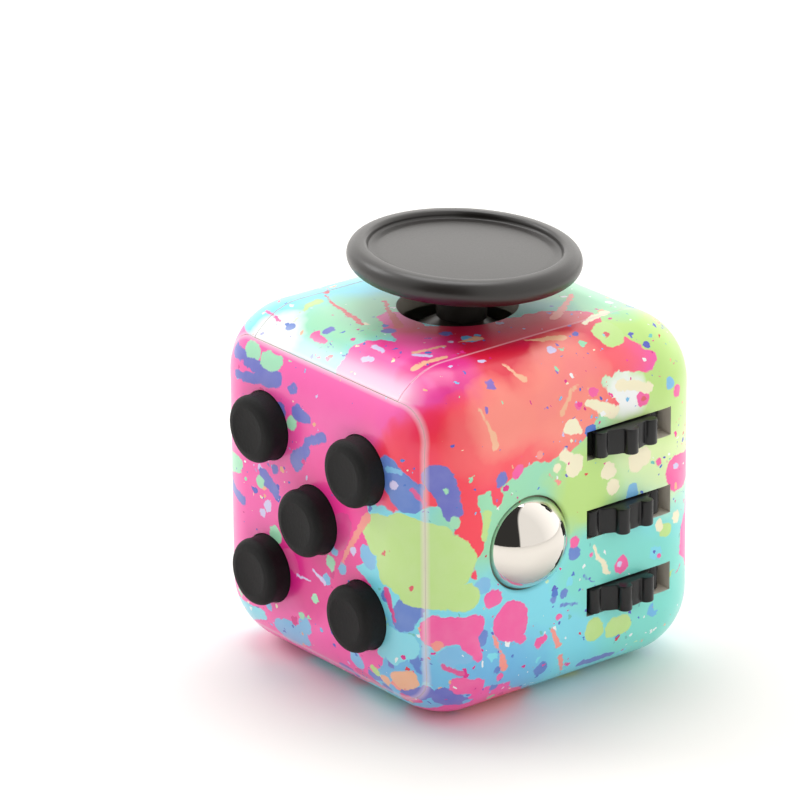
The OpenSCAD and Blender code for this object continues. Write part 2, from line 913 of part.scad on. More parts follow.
top_shell();
bottom_shell();
roll_cover();
dial_cover();
button_panel();
switch_panel();
thumb_dish();
for (i = [0 : len(BUTTONS) - 1]) {
    button(BUTTON_UV[i]);
    button_dome(BUTTON_UV[i]);
}
button_board();
board_screws();
for (i = [0 : len(WHEELS) - 1]) {
    wheel(WHEEL_V[i], WHEEL_PHASE[i]);
}
wheel_axle();
wheel_bracket();
bracket_screws();
roller_ball();
ball_cup();
ball_click_dome();
ball_housing();
ball_housing_screws();
dial();
detent_wheel();
dial_washer();
dial_screw();
dial_click_spring();
switch_bezel();
rocker();
rocker_pin();
rocker_plunger();
plunger_spring();
stick_cap();
stick_spindle();
stick_gimbal();
gimbal_pin();
stick_housing();
centring_grommet();
stick_screws();
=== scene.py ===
"""Looks of the fidget cube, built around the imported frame.

Sizes are in millimetres and become metres where a mesh is made. Every face of the cube has a
frame of its own, with u and v across it and w out of the cube's middle.
"""

import json
import math

import bmesh
import bpy
from mathutils import Euler, Matrix, Vector

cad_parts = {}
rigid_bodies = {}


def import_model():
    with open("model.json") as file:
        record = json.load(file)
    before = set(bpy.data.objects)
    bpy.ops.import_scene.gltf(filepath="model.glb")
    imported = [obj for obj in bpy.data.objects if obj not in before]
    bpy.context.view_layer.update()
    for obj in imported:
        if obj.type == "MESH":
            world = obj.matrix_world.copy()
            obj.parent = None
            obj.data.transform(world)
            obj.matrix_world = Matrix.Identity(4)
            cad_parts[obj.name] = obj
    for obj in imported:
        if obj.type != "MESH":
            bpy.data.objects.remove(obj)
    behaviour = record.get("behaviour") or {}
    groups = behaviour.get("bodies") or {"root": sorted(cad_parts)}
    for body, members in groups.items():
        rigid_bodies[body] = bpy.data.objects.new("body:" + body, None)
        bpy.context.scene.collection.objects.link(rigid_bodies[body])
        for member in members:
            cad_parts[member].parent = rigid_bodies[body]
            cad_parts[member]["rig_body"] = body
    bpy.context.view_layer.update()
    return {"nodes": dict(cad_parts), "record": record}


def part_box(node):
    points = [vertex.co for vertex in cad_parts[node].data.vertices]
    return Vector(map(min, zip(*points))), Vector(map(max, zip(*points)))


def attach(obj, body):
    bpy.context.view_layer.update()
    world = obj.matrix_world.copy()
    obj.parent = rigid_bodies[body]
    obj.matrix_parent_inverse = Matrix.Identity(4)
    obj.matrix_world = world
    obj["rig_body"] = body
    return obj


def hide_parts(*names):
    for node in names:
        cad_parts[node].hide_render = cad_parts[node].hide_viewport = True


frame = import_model()

MM = 0.001


def node_box(node):
    lo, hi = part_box(node)
    return lo / MM, hi / MM


# ---- sizes ----

HALF = node_box("roll_cover")[1].x
EDGE_R = 6.5
WALL = 1.8
FLAT = HALF - EDGE_R
FAR = HALF + 1
CENTRE = Vector((0, 0, HALF))
SEAM = node_box("top_shell")[1].x
SEAM_GAP = 0.03
PANEL_HALF = node_box("button_panel")[1].x
PANEL_CORNER = 3.3
PANEL_GAP = 0.03
PANEL_BACK = 13.6

BUTTONS = ("upper_left", "upper_right", "centre", "lower_left", "lower_right")
BUTTON_R = 3.18
BUTTON_FRONT = -node_box("button_centre")[0].y
BUTTON_SPREAD = node_box("button_upper_right")[1].x - node_box("button_centre")[1].x
BUTTON_PLACES = [(-1, 1), (1, 1), (0, 0), (-1, -1), (1, -1)]

BALL_LO, BALL_HI = node_box("roller_ball")
BALL_AT = (BALL_LO + BALL_HI) / 2
BALL_R = (BALL_HI.z - BALL_LO.z) / 2
BALL_LIP = 4.7
LIP_R = 0.35

WHEELS = ("upper", "middle", "lower")
WHEEL_PHASES = (-4, -14, -11)
WHEEL_LOBES = 10
WHEEL_R = 5.3
WHEEL_ROOT = 4.5
RIDGE_R = 0.68
WHEEL_BORE = 1.06
SLOT_LEFT, SLOT_RIGHT, SLOT_H = 1.3, 11.2, 2.72

CAP_R = 10.6
CAP_TOP = 38.8
CAP_FOOT = 32.05
STEM_R = 2.3
STICK_HOLE_R = 5.5

DIAL_R = node_box("dial")[1].y
DIAL_HI = -node_box("dial")[0].x
ROCKER_W = 7.4
DISH_R, DISH_DEPTH, DISH_HOLE = 8.0, 2.4, 8.6

# ---- colours ----


def srgb(code):
    """Linear red, green, blue and alpha of a hex colour."""
    parts = [int(code[i : i + 2], 16) / 255 for i in (0, 2, 4)]
    return tuple(c / 12.92 if c < 0.04045 else ((c + 0.055) / 1.055) ** 2.4 for c in parts) + (1,)


PAINT = {
    "pink": "fb5db2",
    "hot_pink": "fa3a9e",
    "magenta": "e31b8c",
    "crimson": "e0183c",
    "red": "ff3a52",
    "coral": "fd5f66",
    "salmon": "fd8d80",
    "peach": "f6b48a",
    "cream": "f8f0cc",
    "white": "f6fafa",
    "lime": "bfe684",
    "pale_lime": "e0f6b4",
    "mint": "9be2b8",
    "cyan": "7fdff2",
    "sky": "6fbcec",
    "blue": "4676d0",
    "violet": "545cc6",
    "purple": "8a6cc8",
    "lilac": "d6ccf6",
    "teal": "6cc6c0",
    "aqua": "80e2d6",
}

# ---- meshes ----

FRONT = Matrix(((1, 0, 0, 0), (0, 0, -1, 0), (0, 1, 0, HALF), (0, 0, 0, 1)))
BACK = Matrix(((-1, 0, 0, 0), (0, 0, 1, 0), (0, 1, 0, HALF), (0, 0, 0, 1)))
RIGHT = Matrix(((0, 0, 1, 0), (1, 0, 0, 0), (0, 1, 0, HALF), (0, 0, 0, 1)))
LEFT = Matrix(((0, 0, -1, 0), (-1, 0, 0, 0), (0, 1, 0, HALF), (0, 0, 0, 1)))
TOP = Matrix.Identity(4)
STICK_PIVOT = Vector((0, 0, 25))
STICK_LEAN = Euler((math.radians(-2.3), 0, 0)).to_matrix() @ Euler((0, math.radians(1.9), 0)).to_matrix()
STICK = Matrix.Translation(STICK_PIVOT) @ STICK_LEAN.to_4x4() @ Matrix.Translation(-STICK_PIVOT)


def shift(u, v, w=0):
    return Matrix.Translation((u, v, w))


def ball_place():
    return RIGHT @ shift(BALL_AT.y, BALL_AT.z - HALF)


def button_places():
    return [FRONT @ shift(u * BUTTON_SPREAD, v * BUTTON_SPREAD) for u, v in BUTTON_PLACES]


def new_object(name, verts, faces, smooth=True):
    """An object from points in millimetres."""
    mesh = bpy.data.meshes.new(name)
    mesh.from_pydata([Vector(v) * MM for v in verts], [], faces)
    mesh.validate()
    obj = bpy.data.objects.new(name, mesh)
    bpy.context.scene.collection.objects.link(obj)
    if smooth:
        mesh.polygons.foreach_set("use_smooth", [True] * len(mesh.polygons))
    return obj


def apply_modifiers(obj):
    bpy.context.view_layer.update()
    evaluated = obj.evaluated_get(bpy.context.evaluated_depsgraph_get())
    mesh = bpy.data.meshes.new_from_object(evaluated)
    obj.modifiers.clear()
    old = obj.data
    obj.data = mesh
    bpy.data.meshes.remove(old)
    return obj


def boolean(obj, cutter, operation="DIFFERENCE"):
    """Cuts obj with cutter, and removes the cutter."""
    tool = obj.modifiers.new("cut", "BOOLEAN")
    tool.object = cutter
    tool.operation = operation
    tool.solver = "EXACT"
    apply_modifiers(obj)
    bpy.data.objects.remove(cutter)
    return obj


def bevel(obj, width, segments=2, angle=35):
    tool = obj.modifiers.new("bevel", "BEVEL")
    tool.width = width * MM
    tool.segments = segments
    tool.limit_method = "ANGLE"
    tool.angle_limit = math.radians(angle)
    return apply_modifiers(obj)


def crisp(obj, angle=40):
    """Smooth shading that breaks at edges sharper than angle."""
    obj.data.polygons.foreach_set("use_smooth", [True] * len(obj.data.polygons))
    obj.data.set_sharp_from_angle(angle=math.radians(angle))
    return obj


def arc(cu, cw, radius, start, end, steps):
    """Points of an arc, from angle start to end in degrees."""
    turn = [math.radians(start + (end - start) * i / steps) for i in range(steps + 1)]
    return [(cu + radius * math.cos(a), cw + radius * math.sin(a)) for a in turn]


def lathe(name, outline, place, segments=96):
    """A closed solid turned about w. The outline runs from the axis back to the axis."""
    verts, faces = [], []
    rings = []
    for r, w in outline:
        if r < 1e-6:
            rings.append([len(verts)])
            verts.append(place @ Vector((0, 0, w)))
            continue
        rings.append(list(range(len(verts), len(verts) + segments)))
        for k in range(segments):
            a = 2 * math.pi * k / segments
            verts.append(place @ Vector((r * math.cos(a), r * math.sin(a), w)))
    pairs = list(zip(rings, rings[1:]))
    if len(rings[0]) > 1:
        pairs.append((rings[-1], rings[0]))
    for low, high in pairs:
        for k in range(segments):
            n = (k + 1) % segments
            if len(low) == 1 and len(high) == 1:
                continue
            if len(low) == 1:
                faces.append((low[0], high[n], high[k]))
            elif len(high) == 1:
                faces.append((low[k], low[n], high[0]))
            else:
                faces.append((low[k], low[n], high[n], high[k]))
    return face_outwards(new_object(name, verts, faces))


def edit(obj, change):
    """Runs change on the object's mesh as a bmesh."""
    work = bmesh.new()
    work.from_mesh(obj.data)
    change(work)
    work.to_mesh(obj.data)
    work.free()
    return obj


def face_outwards(obj):
    return edit(obj, lambda work: bmesh.ops.recalc_face_normals(work, faces=work.faces))


def weld(obj):
    return edit(obj, lambda work: bmesh.ops.remove_doubles(work, verts=work.verts, dist=0.001 * MM))


def prism(name, outline, w0, w1, place):
    """A straight solid over an outline of (u, v) points."""
    count = len(outline)
    verts = [place @ Vector((u, v, w)) for w in (w0, w1) for u, v in outline]
    faces = [tuple(range(count))[::-1], tuple(range(count, 2 * count))]
    faces += [(k, (k + 1) % count, count + (k + 1) % count, count + k) for k in range(count)]
    return face_outwards(new_object(name, verts, faces, smooth=False))


def block(name, lo, hi, place=TOP):
    outline = [(lo[0], lo[1]), (hi[0], lo[1]), (hi[0], hi[1]), (lo[0], hi[1])]
    return prism(name, outline, lo[2], hi[2], place)


def round_outline(hu, hv, radius, steps=8):
    corners = [(hu, hv, 0), (-hu, hv, 90), (-hu, -hv, 180), (hu, -hv, 270)]
    points = []
    for u, v, start in corners:
        cu = math.copysign(hu - radius, u)
        cv = math.copysign(hv - radius, v)
        points += arc(cu, cv, radius, start, start + 90, steps)
    return points


def disc_outline(radius, steps=64):
    return arc(0, 0, radius, 0, 360, steps)[:-1]


def rounded_cube(half, radius, arc_steps=10, flat_steps=20):
    """Points and quads of a cube with every edge and corner rounded alike."""
    flat = half - radius
    slopes = [math.tan(math.pi / 4 * (i + 1) / arc_steps) for i in range(arc_steps)]
    stops = [(-flat, -t) for t in reversed(slopes)]
    stops += [(flat * (2 * i / flat_steps - 1), 0) for i in range(flat_steps + 1)]
    stops += [(flat, t) for t in slopes]
    verts, faces = [], []
    for axis in range(3):
        for side in (-1, 1):
            first = len(verts)
            for core_a, slope_a in stops:
                for core_b, slope_b in stops:
                    out, core = Vector(), Vector()
                    out[axis], core[axis] = side, side * flat
                    out[(axis + 1) % 3], core[(axis + 1) % 3] = slope_a, core_a
                    out[(axis + 2) % 3], core[(axis + 2) % 3] = slope_b, core_b
                    verts.append(CENTRE + core + out.normalized() * radius)
            count = len(stops)
            for i in range(count - 1):
                for k in range(count - 1):
                    at = first + i * count + k
                    quad = (at, at + count, at + count + 1, at + 1)
                    faces.append(quad if side > 0 else quad[::-1])
    return verts, faces


def hollow_cube(name):
    """The casing before it is cut into pieces: a rounded skin with a smaller one inside it."""
    outer, outer_faces = rounded_cube(HALF, EDGE_R)
    inner, inner_faces = rounded_cube(HALF - WALL, EDGE_R - WALL)
    first = len(outer)
    faces = outer_faces + [tuple(first + i for i in reversed(f)) for f in inner_faces]
    return weld(new_object(name, outer + inner, faces))


def solid_cube(name):
    return weld(new_object(name, *rounded_cube(HALF, EDGE_R)))


def skin_at(point):
    """How deep a point lies under the cube's skin, and the skin's direction there."""
    local = point - CENTRE
    core = Vector([min(max(c, -FLAT), FLAT) for c in local])
    out = local - core
    return EDGE_R - out.length, out.normalized()


def weigh_seams(work):
    """Picks the sharp edges that lie on the cube's skin, for the bevel."""
    bmesh.ops.dissolve_degenerate(work, edges=work.edges, dist=0.002 * MM)
    layer = work.edges.layers.float.new("bevel_weight_edge")
    for e in work.edges:
        outside = all(abs(skin_at(v.co / MM)[0]) < 0.01 for v in e.verts)
        if outside and len(e.link_faces) == 2 and e.calc_face_angle() > math.radians(40):
            e[layer] = 1


def finish_skin(obj, edge=0.08):
    """Rounds the seams' edges, keeps the skin's own normals, and marks the inside's faces."""
    edit(obj, weigh_seams)
    tool = obj.modifiers.new("edges", "BEVEL")
    tool.width = edge * MM
    tool.segments = 3
    tool.limit_method = "WEIGHT"
    apply_modifiers(obj)
    crisp(obj, 50)
    mesh = obj.data
    normals = [Vector(n.vector) for n in mesh.corner_normals]
    for face in mesh.polygons:
        depth = max(skin_at(mesh.vertices[v].co / MM)[0] for v in face.vertices)
        if depth < 0.01:
            for corner in face.loop_indices:
                point = mesh.vertices[mesh.loops[corner].vertex_index].co / MM
                normals[corner] = skin_at(point)[1]
        face.material_index = 1 if depth > 0.4 else 0
    mesh.normals_split_custom_set(normals)
    return obj


# ---- material graphs ----


class Graph:
    """The nodes of a material or a world under construction. Each call returns an output socket."""

    def __init__(self, owner):
        owner.use_nodes = True
        self.owner = owner
        self.tree = owner.node_tree
        self.shader = self.tree.nodes.get("Principled BSDF")
        self.place = None

    def new(self, kind):
        return self.tree.nodes.new("ShaderNode" + kind)

    def put(self, socket, value):
        if isinstance(value, bpy.types.NodeSocket):
            self.tree.links.new(value, socket)
        elif value is not None:
            socket.default_value = value

    def math(self, operation, a, b=None, c=None):
        made = self.new("Math")
        made.operation = operation
        for socket, value in zip(made.inputs, (a, b, c)):
            self.put(socket, value)
        return made.outputs[0]

    def times(self, a, b):
        return self.math("MULTIPLY", a, b)

    def linear(self, value, slope, offset):
        return self.math("MULTIPLY_ADD", value, slope, offset)

    def clamp(self, operation, a, b=None, c=None):
        """A sum held between 0 and 1. Nodes made in the order of their sums keep a long graph within
        the renderer's limit, so the sum comes first, and the clamp is a node of its own."""
        total = self.math(operation, a, b, c)
        made = self.new("Clamp")
        self.put(made.inputs[0], total)
        return made.outputs[0]

    def vector(self, operation, a, b=None, scale=None):
        made = self.new("VectorMath")
        made.operation = operation
        self.put(made.inputs[0], a)
        self.put(made.inputs[1], b)
        self.put(made.inputs[3], scale)
        single = operation in ("DISTANCE", "LENGTH", "DOT_PRODUCT")
        return made.outputs["Value" if single else "Vector"]

    def mix(self, share, a, b):
        made = self.new("Mix")
        made.data_type = "RGBA"
        self.put(made.inputs["Factor"], share)
        self.put(made.inputs[6], a)
        self.put(made.inputs[7], b)
        return made.outputs[2]

    def ramp(self, share, stops, interpolation="LINEAR"):
        made = self.new("ValToRGB")
        made.color_ramp.interpolation = interpolation
        points = made.color_ramp.elements
        while len(points) < len(stops):
            points.new(1)
        for point, (at, colour) in zip(points, stops):
            point.position = at
            point.color = colour
        self.put(made.inputs[0], share)
        return made.outputs[0]

    def millimetres(self):
        """Where the shaded point is on the object, in millimetres."""
        if self.place is None:
            made = self.new("TexCoord")
            self.place = self.vector("SCALE", made.outputs["Object"], scale=1 / MM)
        return self.place

    def noise(self, place, per_mm, detail=2, roughness=0.5, colour=False):
        made = self.new("TexNoise")
        self.put(made.inputs["Vector"], place)
        made.inputs["Scale"].default_value = per_mm
        made.inputs["Detail"].default_value = detail
        made.inputs["Roughness"].default_value = roughness
        return made.outputs["Color" if colour else "Fac"]

    def cells(self, place, per_mm):
        """Distance to the nearest of some scattered points, and that point's random colour."""
        made = self.new("TexVoronoi")
        self.put(made.inputs["Vector"], place)
        made.inputs["Scale"].default_value = per_mm
        return made.outputs["Distance"], made.outputs["Color"]

    def parts(self, value):
        made = self.new("SeparateXYZ")
        self.put(made.inputs[0], value)
        return made.outputs

    def channels(self, colour):
        made = self.new("SeparateColor")
        self.put(made.inputs[0], colour)
        return made.outputs

    def warp(self, place, per_mm, amount, detail=2):
        """The place moved about by up to roughly half of amount."""
        channels = self.channels(self.noise(place, per_mm, detail, colour=True))
        pushes = [self.linear(c, amount, -amount / 2) for c in channels]
        made = self.new("CombineXYZ")
        for socket, push in zip(made.inputs, pushes):
            self.put(socket, push)
        return self.vector("ADD", place, made.outputs[0])

    def bump(self, height, strength, depth):
        made = self.new("Bump")
        made.inputs["Strength"].default_value = strength
        made.inputs["Distance"].default_value = depth * MM
        self.put(made.inputs["Height"], height)
        self.put(self.shader.inputs["Normal"], made.outputs[0])

    def surface(self, **values):
        for name, value in values.items():
            self.put(self.shader.inputs[name.replace("_", " ")], value)
        return self.owner


def material(name):
    return Graph(bpy.data.materials.new(name))


# ---- the splatter print ----


def on_front(u, v):
    return Vector((u, -HALF, v))


def on_right(u, v):
    return Vector((HALF, u, v))


def on_back(u, v):
    return Vector((u, HALF, v))


def on_left(u, v):
    return Vector((-HALF, u, v))


def on_base(u, v):
    return Vector((u, v, 0))


def on_top(u, v):
    return Vector((u, v, 2 * HALF))


def marks(by_face, over_edges=()):
    """Paths on the skin, as (place, radius) or (place, end, radius, end radius).

    On one face a mark is (u, v, radius) or (u, v, end u, end v, radius, end radius). A mark that runs
    over an edge of the cube is given as its path."""
    paths = list(over_edges)
    for face, rows in by_face.items():
        for u, v, *rest in rows:
            end = [] if len(rest) == 1 else [face(*rest[:2])]
            paths.append((face(u, v), *end, *rest[2 * len(end) :]))
    return paths


def on_skin(point):
    """The point moved out or in to the cube's skin."""
    depth, out = skin_at(point)
    return point + out * depth


# Soft fields of colour: paint, then where each lies and how far it spreads.
WARM_FIELDS = [
    ("hot_pink", on_front(4, 16), 10), ("magenta", on_front(-2, 11), 5),
    ("coral", on_right(-6, 27), 15), ("red", on_right(-14.5, 25), 8), ("red", on_right(-11.5, 18), 6),
    ("red", on_front(13.5, 27), 5), ("coral", on_top(14, 0), 10), ("red", on_top(12.5, -6), 7),
    ("crimson", on_top(8, -5), 9), ("crimson", on_top(10, 2), 6), ("hot_pink", on_top(6, -10.5), 5),
    ("pink", on_top(10, -15), 7), ("magenta", on_top(12, -12.5), 4.5), ("pink", on_front(12, 31), 4),
    ("red", on_right(-15.5, 26), 5.5), ("red", on_right(-12.5, 29.2), 3.5),
    ("red", on_front(12.5, 25.5), 4), ("coral", on_right(-10, 27.5), 4.5),
    # The salmon fields on the right face's top edge and on the top's right edge are a painted sheen:
    # paler coral where light catches the rounded edge.
    ("salmon", on_right(-7.5, 29), 4.5), ("salmon", on_right(-1, 28.5), 6),
    ("salmon", on_top(15.5, 1), 4), ("red", on_back(-9, 24), 9), ("coral", on_back(-14, 27), 6),
    ("magenta", on_back(-11, 8), 6), ("red", on_left(12, 27), 7), ("magenta", on_left(-12, 12), 5),
    ("coral", on_base(8, -5), 8),
]
COOL_FIELDS = [
    ("mint", on_right(2, 24), 10), ("mint", on_right(-9, 20), 7), ("mint", on_right(7, 29), 6),
    ("pale_lime", on_right(12, 24), 10), ("lime", on_right(1, 20.5), 5), ("lime", on_top(12, 13), 12),
    # The white field on the top's front left edge is a painted highlight along that rounded edge.
    ("mint", on_top(4, 10), 8), ("mint", on_top(-3, -9), 7), ("white", on_top(-8, -15.5), 3.5),
    ("teal", on_top(5, 3), 5), ("aqua", on_right(11, 7), 10), ("aqua", on_right(3, 12), 6),
    ("sky", on_right(-10, 3), 8), ("sky", on_front(11, 6), 5), ("white", on_right(6, 28.5), 3),
    ("lime", on_back(5, 12), 9), ("mint", on_back(1, 27), 8), ("sky", on_back(-4, 4), 8),
    ("lime", on_left(0, 28), 8), ("mint", on_left(10, 15), 9), ("sky", on_left(-9, 24), 7),
    ("teal", on_left(-3, 5), 6), ("lime", on_base(-8, 6), 8), ("mint", on_base(0, -6), 7),
]

# Where the warm colours lie. Those of the front are printed on the panel of buttons and end at its
# upper seam.
FRONT_AREAS = marks({
    on_front: [(-15, 27, 12, 27, 6, 6), (-15, 19, 2, 18, 6, 6), (-14, 10, 4, 8, 6, 6),
        (-11, 3, 3, 3.5, 4, 3.2)],
}, [(on_front(8, 27), on_right(-15, 30), 5, 5)])
WARM_AREAS = marks({
    on_right: [(-14, 29, -2, 29, 5, 5), (-14, 25.5, -9, 25, 3.5, 2.5),
        (-12.7, 24, -11.1, 15.4, 2.2, 0.3), (-8.8, 25, -8.8, 21.4, 1.2, 0.6),
        (-4, 29, 3, 28.4, 3.2, 1.2), (2, 27.6, 4.2, 27.2, 0.6, 0.6)],
    on_top: [(5, -14.5, 14, -13, 4, 5), (8, -7, 10, 4, 5.5, 3.5), (5, -8, -1, -6.5, 2, 1.6),
        (12, -9, 14, 0, 5, 5)],
    on_back: [(-16, 26, -6, 22, 5, 3), (-9, 12, -14, 6, 3, 2.4), (10, 18, 14, 12, 2.4, 3.6)],
    on_left: [(15, 29, 7, 24, 4.5, 1.5), (11, 12, 6, 5, 3.5, 1.2), (-14, 16, -9, 8, 3, 1.8)],
    on_base: [(12, -9, 6, 2, 5, 2), (-13, -4, -10, -12, 2.5, 4)],
}, [(on_top(14, 2), on_right(9, 31), 3, 1.2)])

# Painted highlight: a pale band along the top shell's front edge, where light catches its rounded edge.
PAINTED_EDGE_HIGHLIGHT = (on_front(-9, 31.6), on_front(10, 31.6), 1.2, 1.6)

# Where small drops crowd together.
CROWDS = marks({
    on_front: [(13, 5, 8), (7, 2.5, 7), (14.5, 22.5, 5), (-5, 24, 7), (-8, 17, 6), (-11, 5, 6),
        (-2, 2, 6)],
    on_right: [(-13, 5, 8), (1, 27, 7), (0, 9, 5), (-7, 22, 4), (-4, 2, 5), (7, 3, 5), (14, 20, 6)],
    on_top: [(12, 12, 9), (-1, -13, 6), (8, -9, 5)],
    on_back: [(-8, 18, 10), (9, 8, 8)],
    on_left: [(8, 8, 9), (-9, 24, 8)],
    on_base: [(9, 9, 9)],
})

